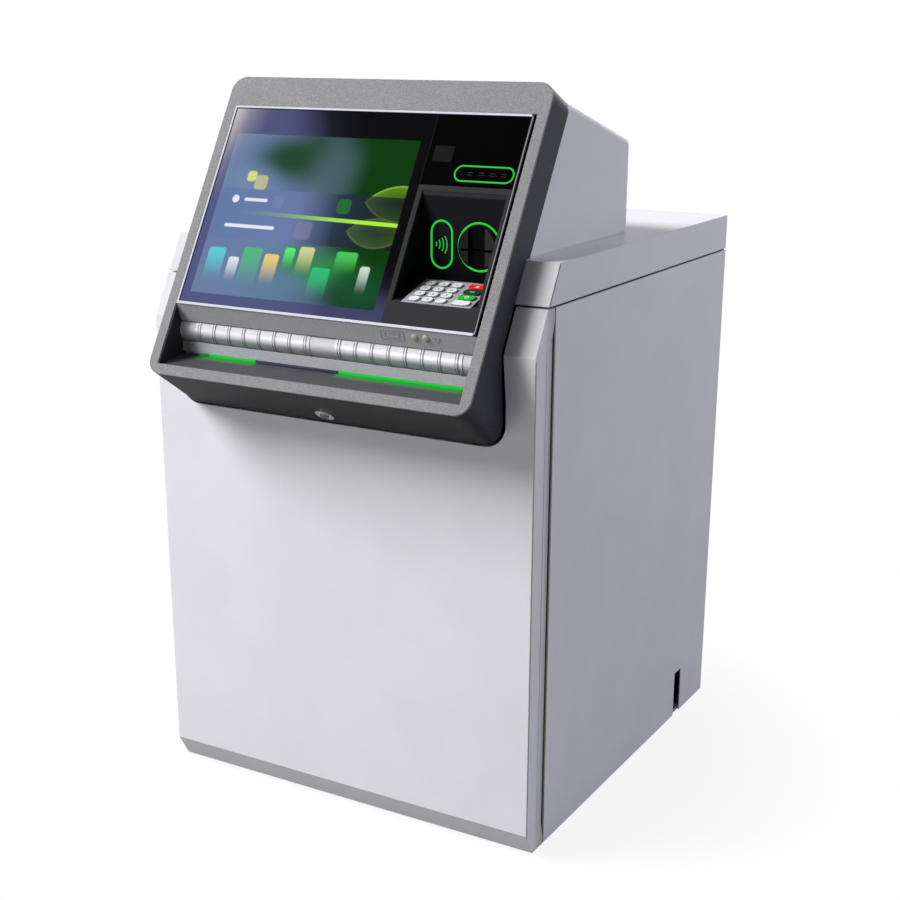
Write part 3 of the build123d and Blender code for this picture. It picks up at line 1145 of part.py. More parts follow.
def cassette(index, height=CASSETTE_HEIGHT):
    """Note cassette with a folding handle's bay at its front."""
    z0 = above(cassette_level(index))
    y0 = behind(RACK_FRONT + CASSETTE_FRONT_GAP)
    body = block(-CASSETTE_HALF, CASSETTE_HALF, y0, y0 + CASSETTE_LENGTH, z0, z0 + height)
    bay = block(-60, 60, y0 - 1, y0 + 18, z0 + height * 0.35, z0 + height * 0.75)
    grip = rod_x(y0 + 7, z0 + height * 0.55, 6, -60, 60)
    return body - bay + grip


def note_transport():
    """Transport from the safe's rear to the note slot's drums."""
    half = NOTE_PATH_HALF
    low = SAFE_TOP + FIT_GAP
    high = low + NOTE_PATH_HEIGHT
    path = block(-half, half, behind(NOTE_RISER_FRONT), behind(RACK_REAR), above(low), above(high))
    path += block(-half, half, behind(NOTE_RISER_FRONT), behind(NOTE_RISER_FRONT + NOTE_RISER_DEPTH),
                  above(low), DRUM_Z + DRUM_RADIUS)
    throat = DRUM_Y + POCKET_REAR + POCKET_WALL + 2.0
    path += block(-half, half, throat, behind(NOTE_RISER_FRONT), DRUM_Z - NOTE_MOUTH, DRUM_Z + NOTE_MOUTH)
    return path


# ------------------------------------------------------------------ top box
def topbox_chassis():
    """Posts on the safe, the shelf for the electronics and the rails below the cover."""
    shelf_top = SHELF_HEIGHT + SHELF_PLATE
    side = HALF - SHEET - FLANGE - 2.0
    chassis = block(-side, side, behind(SHELF_FRONT), REAR_Y - FLANGE - 10,
                    above(SHELF_HEIGHT), above(shelf_top))
    for x in (-SAFE_HALF + POST, SAFE_HALF - 2 * POST):
        for y in (SHELF_FRONT, SAFE_REAR - 2 * POST):
            chassis += block(x, x + POST, behind(y), behind(y) + POST, above(SAFE_TOP), above(SHELF_HEIGHT))
    for sign in (-1, 1):
        x0, x1 = sorted((sign * (side - POST), sign * (side - POST + 4)))
        chassis += block(x0, x1, behind(SHELF_FRONT), behind(CABINET_DEPTH) - FLANGE - 10, above(shelf_top),
                         above(COVER_TOP - SHEET))
    x0 = RECEIPT_X - PAPER_WIDTH / 2 - PRINTER_CHEEK - 2
    x1 = RECEIPT_X + PAPER_WIDTH / 2 + PRINTER_CHEEK + 2
    for x in (x0, x1 - PRINTER_CHEEK):
        chassis += block(x, x + PRINTER_CHEEK, behind(PRINTER_FRONT + PRINTER_HEAD - 30),
                         behind(PRINTER_FRONT + PRINTER_LENGTH), above(shelf_top), above(PRINTER_BOTTOM))
    return chassis


def computer_core():
    z0 = above(SHELF_HEIGHT + SHELF_PLATE)
    y1 = behind(HOOD_REAR - FLANGE - 10)
    y0 = y1 - CORE_LENGTH
    left = -HALF + CORE_SIDE_GAP
    core = block(left, left + CORE_WIDTH, y0, y1, z0, z0 + CORE_HEIGHT)
    for index in range(3):
        x = left + 60 + index * 90
        core += block(x, x + 60, y0 - 12, y0, z0 + 30, z0 + 60)
    return core


PRINTER_LEFT = RECEIPT_X - PAPER_WIDTH / 2 - PRINTER_CHEEK - 2.0
PRINTER_RIGHT = RECEIPT_X + PAPER_WIDTH / 2 + PRINTER_CHEEK + 2.0
ROLL_Y = PRINTER_FRONT + PRINTER_LENGTH - ROLL_RADIUS - 10.0
ROLL_Z = (PRINTER_BOTTOM + PRINTER_TOP) / 2 + 4.0


def receipt_printer():
    """Print mechanism, floor plate, two cheeks and the paper's spindle."""
    head = block(PRINTER_LEFT, PRINTER_RIGHT, behind(PRINTER_FRONT), behind(PRINTER_FRONT + PRINTER_HEAD),
                 above(PRINTER_BOTTOM), above(PRINTER_TOP))
    head -= block(RECEIPT_X - PAPER_WIDTH / 2 - 1, RECEIPT_X + PAPER_WIDTH / 2 + 1, behind(PRINTER_FRONT - 1),
                  behind(PRINTER_FRONT + 60), above(PRINTER_TOP - 12), above(PRINTER_TOP - 12) + RECEIPT_SLOT)
    y0 = behind(PRINTER_FRONT + PRINTER_HEAD)
    y1 = behind(PRINTER_FRONT + PRINTER_LENGTH)
    for x in (PRINTER_LEFT, PRINTER_RIGHT - PRINTER_CHEEK):
        head += block(x, x + PRINTER_CHEEK, y0, y1, above(PRINTER_BOTTOM), above(PRINTER_TOP))
    head += block(PRINTER_LEFT, PRINTER_RIGHT, y0, y1, above(PRINTER_BOTTOM), above(PRINTER_BOTTOM + 4))
    head += rod_x(behind(ROLL_Y), above(ROLL_Z), ROLL_BORE, PRINTER_LEFT, PRINTER_RIGHT)
    return head


def paper_roll():
    x0 = PRINTER_LEFT + PRINTER_CHEEK + ROLL_SIDE_GAP
    x1 = PRINTER_RIGHT - PRINTER_CHEEK - ROLL_SIDE_GAP
    roll = rod_x(behind(ROLL_Y), above(ROLL_Z), ROLL_RADIUS, x0, x1)
    return roll - rod_x(behind(ROLL_Y), above(ROLL_Z), ROLL_BORE + RUNNING_FIT, x0 - 1, x1 + 1)


# ------------------------------------------------------------------ nodes
NODES = {
    "base_frame": base_frame(),
    "levelling_feet": levelling_feet(),
    "side_panel_left": side_panel(-1),
    "side_panel_right": side_panel(1),
    "rear_panel": rear_panel(),
    "top_cover": top_cover(),
    "hood": hood(),
    "topbox_chassis": topbox_chassis(),
    "computer_core": computer_core(),
    "receipt_printer": receipt_printer(),
    "paper_roll": paper_roll(),
    "safe_body": safe_body(),
    "door_hinges": door_hinges(),
    "cassette_rack": cassette_rack(),
    "reject_bin": cassette(CASSETTE_COUNT, CASSETTE_HEIGHT),
    "note_transport": note_transport(),
    "fascia_frame": fascia_frame(),
    "fascia_face": fascia_face(),
    "trim_bezel": trim_bezel(),
    "display_glass": display_glass(),
    "display_module": display_module(),
    "control_panel": control_panel(),
    "camera_window": camera_window(),
    "pin_recess": pin_recess(),
    "contactless_reader": contactless_reader(),
    "card_reader": card_reader(),
    "keypad_plate": keypad_plate(),
    "keypad_housing": keypad_housing(),
    "media_surround": media_surround(),
    "light_guides": light_guides(),
    "shutter_left": shutter(-1),
    "shutter_right": shutter(1),
    "lock_collar": lock_collar(),
    "lock_plug": lock_plug(),
    "door_skin": door_skin(),
    "door_frame": door_frame(),
    "safe_door": safe_door(),
    "safe_handle": safe_handle(),
    "safe_bolts": safe_bolts(),
}
for number in range(CASSETTE_COUNT):
    NODES[f"cassette_{number + 1}"] = cassette(number)
for name in KEYS:
    NODES[name] = key(name)

os.makedirs("parts", exist_ok=True)
for name, shape in NODES.items():
    export_step(shape, f"parts/{name}.step")
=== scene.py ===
import json
from math import cos, pi, radians, sin

import bpy
import numpy as np
from mathutils import Matrix


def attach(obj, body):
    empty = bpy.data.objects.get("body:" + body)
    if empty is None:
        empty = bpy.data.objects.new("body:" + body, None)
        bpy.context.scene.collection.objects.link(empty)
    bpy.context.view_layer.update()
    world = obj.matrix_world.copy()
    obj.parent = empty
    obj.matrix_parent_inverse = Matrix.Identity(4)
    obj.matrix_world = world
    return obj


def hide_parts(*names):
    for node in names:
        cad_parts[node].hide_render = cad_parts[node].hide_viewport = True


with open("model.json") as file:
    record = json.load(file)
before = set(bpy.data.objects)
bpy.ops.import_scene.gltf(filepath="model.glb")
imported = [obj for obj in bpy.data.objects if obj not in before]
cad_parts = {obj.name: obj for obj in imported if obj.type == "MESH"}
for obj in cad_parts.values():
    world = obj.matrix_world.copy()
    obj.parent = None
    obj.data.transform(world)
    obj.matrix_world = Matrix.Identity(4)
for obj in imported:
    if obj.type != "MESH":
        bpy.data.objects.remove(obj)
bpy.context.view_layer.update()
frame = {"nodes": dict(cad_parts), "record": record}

# Lengths are in millimetres until a place function turns them into points in metres.
MM = 0.001

# ------------------------------------------------------------------ places and sizes on the machine
LEAN = radians(30.3)              # fascia's lean from the vertical
FACE_FOOT_Y = -465.0              # foot of the fascia's face
FACE_FOOT_Z = 800.0
TILT = radians(17.9)              # keypad's slope
LIP_Y = FACE_FOOT_Y + 172.8 * sin(LEAN)
LIP_Z = FACE_FOOT_Z + 172.8 * cos(LEAN)
BACK_WALL_Y = FACE_FOOT_Y + 365.0 * sin(LEAN) + 1.0
READER_Z = 1030.4
DRUM_Y = FACE_FOOT_Y + 102.8 * sin(LEAN) + 53.0 * cos(LEAN)
DRUM_Z = FACE_FOOT_Z + 102.8 * cos(LEAN) - 53.0 * sin(LEAN)
DOOR_Y = -360.0
DOOR_BEND_Z = 878.0               # above it the door and the cover lean back
DOOR_SLOPE = 0.5716
PANEL_Y = -292.6                  # front edge of the side panels
DOOR_REAR_Y = -296.2              # rear edge of the door
HALF_WIDTH = 380.0
REAR_Y = 465.0
LIT_LEFT = -275.6                 # lit area of the screen, on the fascia's face
LIT_FOOT = 153.5
LIT_WIDTH = 376.0
LIT_HEIGHT = 298.2
SEAM_Z = 950.0                    # seam between the cover and the panels
CASSETTE_FRONT_Y = -215.0
CASSETTE_FOOT_Z = 32.0
CASSETTE_PITCH = 130.0
SAFE_PLATE_Y = -290.0             # front of the safe door's plate, and of the box on it
SAFE_BOX_Y = -310.0
CORE_Y = -121.0                   # front of the computer
PRINTER_TOP_Z = 1154.0
PRINTER_SIDE_X = 281.0
RIB_START = 34.2                  # first rib of a shutter, from the machine's middle
RIB_PITCH = 31.8
SHARP = radians(32)               # edges that turn by more than this stay sharp


def rows_of(x, y, z):
    """Points in metres, one to a row, from millimetre arrays that broadcast against each other."""
    return np.stack(np.broadcast_arrays(x, y, z), axis=-1) * MM


def on_face(u, v, w):
    """x, along the fascia's lean, out of its face."""
    y = FACE_FOOT_Y + v * sin(LEAN) - w * cos(LEAN)
    z = FACE_FOOT_Z + v * cos(LEAN) + w * sin(LEAN)
    return rows_of(u, y, z)


def on_keypad(u, v, w):
    """x, up the keypad's slope, out of its plate."""
    y = LIP_Y + v * cos(TILT) - w * sin(TILT)
    z = LIP_Z + v * sin(TILT) + w * cos(TILT)
    return rows_of(u, y, z)


def facing(side, level):
    """Place function for a flat side of the machine: u to the right and v up as seen from outside."""
    if side == "front":
        return lambda u, v, w: rows_of(u, level - w, v)
    if side == "rear":
        return lambda u, v, w: rows_of(-u, level + w, v)
    if side == "right":
        return lambda u, v, w: rows_of(level + w, u, v)
    if side == "left":
        return lambda u, v, w: rows_of(level - w, -u, v)
    return lambda u, v, w: rows_of(u, v, level + w)


def shifted(place, u0, v0, turn=0.0):
    """The same plane with its origin moved to (u0, v0) and turned by an angle in degrees."""
    c, s = cos(radians(turn)), sin(radians(turn))
    return lambda u, v, w: place(u0 + u * c - v * s, v0 + u * s + v * c, w)


# ------------------------------------------------------------------ surfaces
def surface(points, closed=False):
    """A grid of points as quads between neighbours. Its rows are rings, with a flat cap at both ends unless
    the last ring joins the first."""
    rows, columns = points.shape[:2]
    index = np.arange(rows * columns).reshape(rows, columns)
    low = index if closed else index[:-1]
    high = np.roll(index, -1, 0) if closed else index[1:]
    faces = np.stack([low, np.roll(low, -1, 1), np.roll(high, -1, 1), high], -1).reshape(-1, 4).tolist()
    if not closed:
        faces += [index[0][::-1].tolist(), index[-1].tolist()]
    return points.reshape(-1, 3), faces


def rounded(width, height, corner, count=6):
    """Rectangle with round corners: quarter circles about four inset centres, and their normals."""
    corner = min(corner, width / 2 - 1e-4, height / 2 - 1e-4)
    turn = np.linspace(0, pi / 2, count + 1) + np.arange(4)[:, None] * pi / 2
    normal = np.stack([np.cos(turn), np.sin(turn)], -1)
    centres = np.array([[1, 1], [-1, 1], [-1, -1], [1, -1]]) * [width / 2 - corner, height / 2 - corner]
    return (centres[:, None] + corner * normal).reshape(-1, 2), normal.reshape(-1, 2)


def circle(radius, count):
    """Circle and its normals."""
    turn = np.arange(count) * 2 * pi / count
    normal = np.stack([np.cos(turn), np.sin(turn)], -1)
    return radius * normal, normal


def pressed(place, outline, profile, centre=(0, 0), closed=False):
    """An outline carried up a profile: each step moves it in along its normals and lifts it.
    A closed profile makes a ring whose section is the profile."""
    points, normals = outline
    inset, rise = np.array(profile, float).T
    ring = points[None] - inset[:, None, None] * normals[None] + np.array(centre, float)
    grid = place(ring[..., 0], ring[..., 1], rise[:, None])
    return surface(grid, closed)


def slab(place, width, height, thickness, corner=2.0, edge=0.6, centre=(0, 0), foot=0.0):
    """Plate with round corners and softened edges."""
    edge = min(edge, thickness / 2, corner * 0.9)
    half = edge * 0.3
    profile = [(edge, foot), (half, foot + half), (0, foot + edge), (0, foot + thickness - edge),
               (half, foot + thickness - half), (edge, foot + thickness)]
    return pressed(place, rounded(width, height, corner), profile, centre)


def half_round(stroke, proud, foot=0.0):
    """Closed profile of a bead: inset and height go round half an ellipse, then down to its foot."""
    turn = np.linspace(0, pi, 7)
    inset = stroke / 2 * (1 - np.cos(turn))
    rise = foot + proud * np.sin(turn)
    sunk = [(stroke, foot - 0.4), (0, foot - 0.4)]
    return list(zip(inset, rise)) + sunk


def crossways(tangent, helper):
    """Two directions square to a tangent and to each other."""
    first = np.cross(helper, tangent)
    first /= np.linalg.norm(first, axis=-1, keepdims=True)
    return first, np.cross(tangent, first)


def turned(origin, axis, profile, count):
    """Turned piece: radius as a function of the distance along an axis, carried round it."""
    axis = np.array(axis, float)
    first, second = crossways(axis, (0, 0, 1.0))
    turn = np.arange(count) * 2 * pi / count
    along, radius = np.array(profile, float).T
    spoke = np.cos(turn)[:, None] * first + np.sin(turn)[:, None] * second
    grid = np.array(origin, float) + along[:, None, None] * axis + radius[:, None, None] * spoke[None]
    return surface(grid * MM)


def tube(path, radius):
    """Round section carried along a line of points, square to its tangent."""
    tangent = np.gradient(path, axis=0)
    tangent /= np.linalg.norm(tangent, axis=1)[:, None]
    first, second = crossways(tangent, np.eye(3)[np.argmin(path.max(0) - path.min(0))])
    turn = (np.arange(8) * 2 * pi / 8)[None, :, None]
    grid = path[:, None] + radius * (np.cos(turn) * first[:, None] + np.sin(turn) * second[:, None])
    return surface(grid * MM)


def linked(name, data):
    """A new object in the scene."""
    made = bpy.data.objects.new(name, data)
    bpy.context.scene.collection.objects.link(made)
    return made


def piece(name, surfaces, slot, body="cabinet", finish=None, stands_for=()):
    """One object made of several surfaces, riding on a body, in its slot's finish unless another is given."""
    vertices = []
    faces = []
    start = 0
    for points, quads in surfaces:
        vertices.append(points)
        faces.extend([[start + i for i in face] for face in quads])
        start += len(points)
    mesh = bpy.data.meshes.new(name)
    mesh.from_pydata(np.concatenate(vertices).tolist(), [], faces)
    mesh.validate()
    mesh.polygons.foreach_set("use_smooth", [True] * len(mesh.polygons))
    mesh.set_sharp_from_angle(angle=SHARP)
    mesh.materials.append(finish or FINISH_OF[slot])
    made = linked(name, mesh)
    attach(made, body)
    if stands_for:
        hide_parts(*stands_for)


def lettered(text, size, place, centre, rise, thickness=0.12):
    """A numeral as a surface: built-in letter shape, made a mesh, centred and laid on a plane."""
    curve = bpy.data.curves.new("numeral", "FONT")
    curve.body = text
    curve.size = size
    curve.align_x = "CENTER"
    curve.align_y = "CENTER"
    curve.extrude = thickness / 2
    curve.resolution_u = 3
    holder = linked("numeral", curve)
    bpy.context.view_layer.update()
    mesh = bpy.data.meshes.new_from_object(holder)
    flat = np.zeros(len(mesh.vertices) * 3)
    mesh.vertices.foreach_get("co", flat)
    flat = flat.reshape(-1, 3)
    flat[:, :2] -= (flat[:, :2].max(0) + flat[:, :2].min(0)) / 2
    faces = [list(polygon.vertices) for polygon in mesh.polygons]
    bpy.data.objects.remove(holder)
    bpy.data.curves.remove(curve)
    bpy.data.meshes.remove(mesh)
    points = place(flat[:, 0] + centre[0], flat[:, 1] + centre[1], flat[:, 2] + rise)
    return points, faces


# ------------------------------------------------------------------ shader fields
class Field:
    """A value that varies over a surface. Arithmetic on it adds Math nodes."""

    def __init__(self, nodes, socket):
        self.nodes = nodes
        self.socket = socket

    def math(self, operation, other=0.0):
        return self.nodes.node("ShaderNodeMath", {"operation": operation}, {0: self, 1: other})

    def __add__(self, other):
        return self.math("ADD", other)

    def __sub__(self, other):
        return self.math("SUBTRACT", other)

    def __rsub__(self, other):
        return self.math("MULTIPLY", -1.0).math("ADD", other)

    def __mul__(self, other):
        return self.math("MULTIPLY", other)

    def __truediv__(self, other):
        return self.math("DIVIDE", other)

    def __pow__(self, other):
        return self.math("POWER", other)

    def __abs__(self):
        return self.math("ABSOLUTE")


class Nodes:
    """A node tree, with the one method that adds nodes to it."""

    def __init__(self, tree):
        self.tree = tree

    def node(self, kind, settings, sockets, output=0):
        made = self.tree.nodes.new(kind)
        for key, value in settings.items():
            if key == "stops":
                self.fill_ramp(made.color_ramp, value)
            else:
                setattr(made, key, value)
        for key, value in sockets.items():
            if isinstance(value, Field):
                self.tree.links.new(value.socket, made.inputs[key])
            else:
                made.inputs[key].default_value = value
        return Field(self, made.outputs[output])

    def fill_ramp(self, ramp, stops):
        while len(ramp.elements) < len(stops):
            ramp.elements.new(1.0)
        for element, (position, colour) in zip(ramp.elements, stops):
            element.position = position
            element.color = (*colour, 1.0)

    def rays(self):
        """1 for rays from the camera, and 1 for those, mirrored and clear rays together."""
        path = self.tree.nodes.new("ShaderNodeLightPath")
        seen = Field(self, path.outputs["Is Camera Ray"])
        shiny = Field(self, path.outputs["Is Glossy Ray"])
        return seen, seen + shiny + Field(self, path.outputs["Is Transmission Ray"])


class Finish(Nodes):
    """One material: its node tree, the fields it is worked out from, and its shader."""

    def __init__(self, name):
        self.material = bpy.data.materials.new(name)
        self.material.use_nodes = True
        super().__init__(self.material.node_tree)
        self.shader = self.tree.nodes["Principled BSDF"]
        self.place = self.node("ShaderNodeTexCoord", {}, {}, "Object")
        split = self.node("ShaderNodeSeparateXYZ", {}, {0: self.place}).socket.node.outputs
        self.x, self.y, self.z = (Field(self, output) * 1000 for output in split)

    # -------- fields
    def along(self):
        """Distance up the fascia's lean."""
        return (self.y - FACE_FOOT_Y) * sin(LEAN) + (self.z - FACE_FOOT_Z) * cos(LEAN)

    def depth(self):
        """Distance behind the fascia's face."""
        return (self.y - FACE_FOOT_Y) * cos(LEAN) - (self.z - FACE_FOOT_Z) * sin(LEAN)

    def noise(self, size, detail=2.0, stretch=(1, 1, 1), roughness=0.5):
        """Noise whose lumps are about a size in millimetres, longer where stretched."""
        vector = self.place
        if stretch != (1, 1, 1):
            vector = self.node("ShaderNodeVectorMath", {"operation": "DIVIDE"}, {0: self.place, 1: stretch})
        return self.node("ShaderNodeTexNoise", {},
                         {"Vector": vector, "Scale": 1000.0 / size, "Detail": detail, "Roughness": roughness})

    def cells(self, size, feature="F1"):
        return self.node("ShaderNodeTexVoronoi", {"feature": feature},
                         {"Vector": self.place, "Scale": 1000.0 / size})

    def rise(self, value, low, high, start=0.0, end=1.0):
        """Smooth step from one value to another as a field goes from low to high."""
        return self.node("ShaderNodeMapRange", {"interpolation_type": "SMOOTHSTEP"},
                         {"Value": value, "From Min": low, "From Max": high, "To Min": start, "To Max": end})

    def vary(self, noise, first, second):
        """From one value or colour to another through the middle range of a noise."""
        if isinstance(first, tuple):
            return self.mix(self.rise(noise, 0.3, 0.7), first, second)
        return self.rise(noise, 0.3, 0.7, first, second)

    def band(self, value, low, high, soft=0.3):
        """1 between low and high, 0 outside."""
        return self.rise(value, low - soft, low) * self.rise(value, high, high + soft, 1.0, 0.0)

    def longer(self, a, b):
        return a.math("MAXIMUM", b)

    def shorter(self, a, b):
        return a.math("MINIMUM", b)

    def length(self, a, b):
        return (a * a + b * b) ** 0.5

    def plate(self, u, v, cu, cv, half_u, half_v, corner):
        """Signed distance to a rounded rectangle: below 0 inside it."""
        du = abs(u - cu) - (half_u - corner)
        dv = abs(v - cv) - (half_v - corner)
        outside = self.length(self.longer(du, 0.0), self.longer(dv, 0.0))
        inside = self.shorter(self.longer(du, dv), 0.0)
        return outside + inside - corner

    def mix(self, factor, first, second, blend="MIX"):
        """Colour between two, by a field."""
        first, second = (end if isinstance(end, Field) else (*end, 1.0) for end in (first, second))
        return self.node("ShaderNodeMix", {"data_type": "RGBA", "blend_type": blend},
                         {0: factor, 6: first, 7: second}, 2)

    def ramp(self, value, stops):
        return self.node("ShaderNodeValToRGB", {"stops": stops}, {0: value})

    # -------- shader
    def fixed(self, **values):
        """Shader values that are the same all over."""
        for key, value in values.items():
            self.shader.inputs[key.replace("_", " ")].default_value = value
        return self

    def grained(self, base, grain, rough, smooth, metallic=0.0, height=0.00002, edge=0.8):
        """Paint with a grain that shows in gloss and height."""
        gloss = self.vary(grain, rough, smooth)
        return self.paint(base, gloss, metallic, bump=grain, height=height, edge=edge)

    def paint(self, colour, roughness, metallic=0.0, bump=None, height=0.00005, edge=0.0, glow=None):
        """Joins the fields to the shader. Softened edges and bumps are in millimetres and metres."""
        sockets = {"Base Color": colour, "Roughness": roughness, "Metallic": metallic}
        if glow is not None:
            sockets["Emission Color"] = glow
            sockets["Emission Strength"] = 1.0
        if edge:
            sockets["Normal"] = self.node("ShaderNodeBevel", {"samples": 4}, {"Radius": edge * MM})
        if bump is not None:
            bumped = {"Height": bump, "Distance": height, "Strength": 1.0}
            if edge:
                bumped["Normal"] = sockets["Normal"]
            sockets["Normal"] = self.node("ShaderNodeBump", {}, bumped)
        for key, value in sockets.items():
            if isinstance(value, Field):
                self.tree.links.new(value.socket, self.shader.inputs[key])
            else:
                self.shader.inputs[key].default_value = (*value, 1.0) if isinstance(value, tuple) else value
        return self.material


def shade(colour, share):
    """The same colour, darker or lighter."""
    return tuple(c * share for c in colour)


# ------------------------------------------------------------------ finishes
def cabinet_enamel(name, colour, edge, painted_shade_and_flange=""):
    """Powder-coated sheet steel: faint cloudiness, orange peel and soft edges. On the cabinet and the door it
    also gets painted shade on the front faces above the bend, along the door's rear bevel and on the inner
    part of the side panels' beige flanges, and a painted dark reflection along the front corners.
    """
    f = Finish(name).fixed(Specular_IOR_Level=0.3)
    cloud = f.noise(160, 3)
    peel = f.noise(1.5, 2)
    tint = shade(colour, 0.965)
    base = f.mix(f.rise(cloud, 0.35, 0.65), tint, colour)
    if painted_shade_and_flange:
        outer = abs(f.x)
        behind_front = f.y - DOOR_Y - f.longer(f.z - DOOR_BEND_Z, 0.0) * DOOR_SLOPE
        # painted dark reflection: a dark band on the side just behind the rounded front corner
        corner_painted_reflection = f.band(behind_front, 0.9, 3.9, 0.5) * f.rise(outer, 379.2, 379.8)
        front = f.rise(behind_front, 0.5, 1.0, 1.0, 0.0) * f.rise(outer, 379.2, 379.8, 1.0, 0.0)
        # painted shade: the door's and the cover's front faces above the bend are darkened
        leaning_painted_shade = f.rise(f.z, DOOR_BEND_Z, DOOR_BEND_Z + 1) * front
        base = f.mix(leaning_painted_shade * 0.21, base, (0.03, 0.03, 0.035))
    if painted_shade_and_flange == "door":
        # painted shade: the door's side darkens towards its rear edge
        rear_bevel_painted_shade = f.rise(f.y, -336, -298, 0.0, 0.55) * f.rise(outer, 370, 372)
        base = f.mix(rear_bevel_painted_shade, base, (0.2, 0.2, 0.22))
        base = f.mix(corner_painted_reflection * f.rise(f.z, 868, 876, 0.8, 0.0), base, (0.09, 0.088, 0.082))
    if painted_shade_and_flange == "cabinet":
        below_seam = f.rise(f.z, SEAM_Z - 3, SEAM_Z - 1.4, 1.0, 0.0)
        flange = f.rise(f.y, PANEL_Y + 0.2, PANEL_Y + 0.8, 1.0, 0.0) * below_seam
        base = f.mix(flange, base, (0.62, 0.57, 0.47))
        # painted shade: the inner part of the flange, in the seam beside the door, is darkened
        base = f.mix(flange * f.rise(outer, 377.2, 377.7, 1.0, 0.0), base, (0.1, 0.095, 0.085))
        base = f.mix(corner_painted_reflection * f.rise(f.z, SEAM_Z + 1, SEAM_Z + 3), base, (0.085, 0.085, 0.09))
    gloss = f.vary(f.noise(26, 2), 0.4, 0.47)
    return f.paint(base, gloss, bump=peel, height=0.00002, edge=edge)


def speckled_face():
    """Fascia's face: speckled plastic with a slightly raised grain."""
    f = Finish("face_speckled").fixed(Specular_IOR_Level=0.18)
    dark = (0.19, 0.189, 0.196)
    grain = f.noise(1.9, 2, roughness=0.7)
    base = f.mix(f.rise(grain, 0.42, 0.6), dark, (0.27, 0.267, 0.279))
    base = f.mix(f.vary(f.noise(90, 2), 0.0, 0.12), base, shade(dark, 0.8))
    return f.paint(base, f.rise(grain, 0.35, 0.65, 0.63, 0.5), bump=grain, height=0.00006, edge=1.0)


def anthracite_shell():
    """Fascia's body: speckled, with a painted bluish sheen that makes the sides lighter than the chin, whose
    darker neutral tone is painted shade.
    """
    f = Finish("body_anthracite").fixed(Specular_IOR_Level=0.12)
    grain = f.noise(1.3, 2, roughness=0.7)
    fleck = f.rise(grain, 0.42, 0.6)
    # painted sheen on the sides and painted shade on the chin: the sides are lighter and bluer than the chin
    side = f.rise(abs(f.x), 306, 320)
    dark = f.mix(side, (0.008, 0.0079, 0.0082), (0.034, 0.035, 0.0475))
    light = f.mix(side, (0.0165, 0.0162, 0.0166), (0.051, 0.052, 0.068))
    gloss = f.rise(grain, 0.35, 0.65, 0.58, 0.45)
    return f.paint(f.mix(fleck, dark, light), gloss, bump=grain, height=0.00006, edge=1.2)


def frame_trim():
    """Bright frame round the glass, its right run painted darker as shade, with a dark line along its inner
    edge and beside its right run.
    """
    f = Finish("trim_bright")
    along = f.along()
    away = f.plate(f.x, along, -1.0, 316.9, 291.5, 182.3, 0.01)
    right = f.rise(f.x, 290.0, 290.4)
    streak = f.noise(0.6, 3, (30, 30, 1))
    # painted shade: the frame's right run is darker than the rest of the same metal
    bright = f.mix(right, (0.88, 0.88, 0.94), (0.36, 0.36, 0.38))
    foot = f.rise(along, 135.2, 135.8, 1.0, 0.0)
    base = f.vary(streak, (0.78, 0.78, 0.82), (0.92, 0.92, 0.96))
    base = f.mix(1.0, base, bright, "MULTIPLY")
    inner = f.rise(away + foot * 0.8, 1.1, 1.5, 1.0, 0.0)
    outer = f.rise(away, 3.0, 3.4) * right
    base = f.mix(f.longer(inner, outer) * 0.95, base, (0.012, 0.012, 0.014))
    return f.grained(base, streak, 0.36, 0.26, 1.0, 0.000008, 0.4)


def bright_metal(name, colour, roughness, stretch=(1, 1, 1), size=2.0):
    """Brushed metal: fine streaks along one direction in tone, gloss and height."""
    f = Finish(name)
    streak = f.noise(size, 3, stretch)
    base = f.vary(streak, shade(colour, 0.9), colour)
    return f.grained(base, streak, roughness + 0.08, roughness - 0.04, 1.0, 0.000008, 0.4)


def plain_plastic(name, colour, roughness=0.5, edge=0.6, height=0.00003, specular=0.25):
    """Moulded plastic with a fine even grain."""
    f = Finish(name).fixed(Specular_IOR_Level=specular)
    grain = f.noise(0.9, 2)
    cloud = f.noise(60, 2)
    base = f.mix(f.rise(cloud, 0.35, 0.65), shade(colour, 0.9), colour)
    return f.grained(base, grain, roughness + 0.05, roughness - 0.05, height=height, edge=edge)


def hammered_coat():
    """Hammered powder coat of the safe: dimples about 4 mm across."""
    f = Finish("safe_hammered")
    colour = (0.145, 0.16, 0.175)
    dimple = f.cells(4.0, "SMOOTH_F1")
    base = f.mix(f.rise(dimple, 0.1, 0.7), shade(colour, 1.15), shade(colour, 0.8))
    return f.paint(base, f.rise(dimple, 0.0, 0.8, 0.32, 0.5), bump=dimple, height=0.00012, edge=1.2)


def zinc_plate():
    """Zinc plated sheet with its cloudy spangle."""
    f = Finish("zinc_plated")
    spangle = f.cells(9.0)
    cloud = f.noise(30, 3)
    tone = f.rise(spangle * 0.5 + cloud * 0.5, 0.2, 0.7)
    base = f.mix(tone, (0.46, 0.47, 0.47), (0.62, 0.62, 0.6))
    return f.paint(base, f.vary(cloud, 0.3, 0.46), 1.0, bump=f.noise(2.0, 2), height=0.00001, edge=0.6)


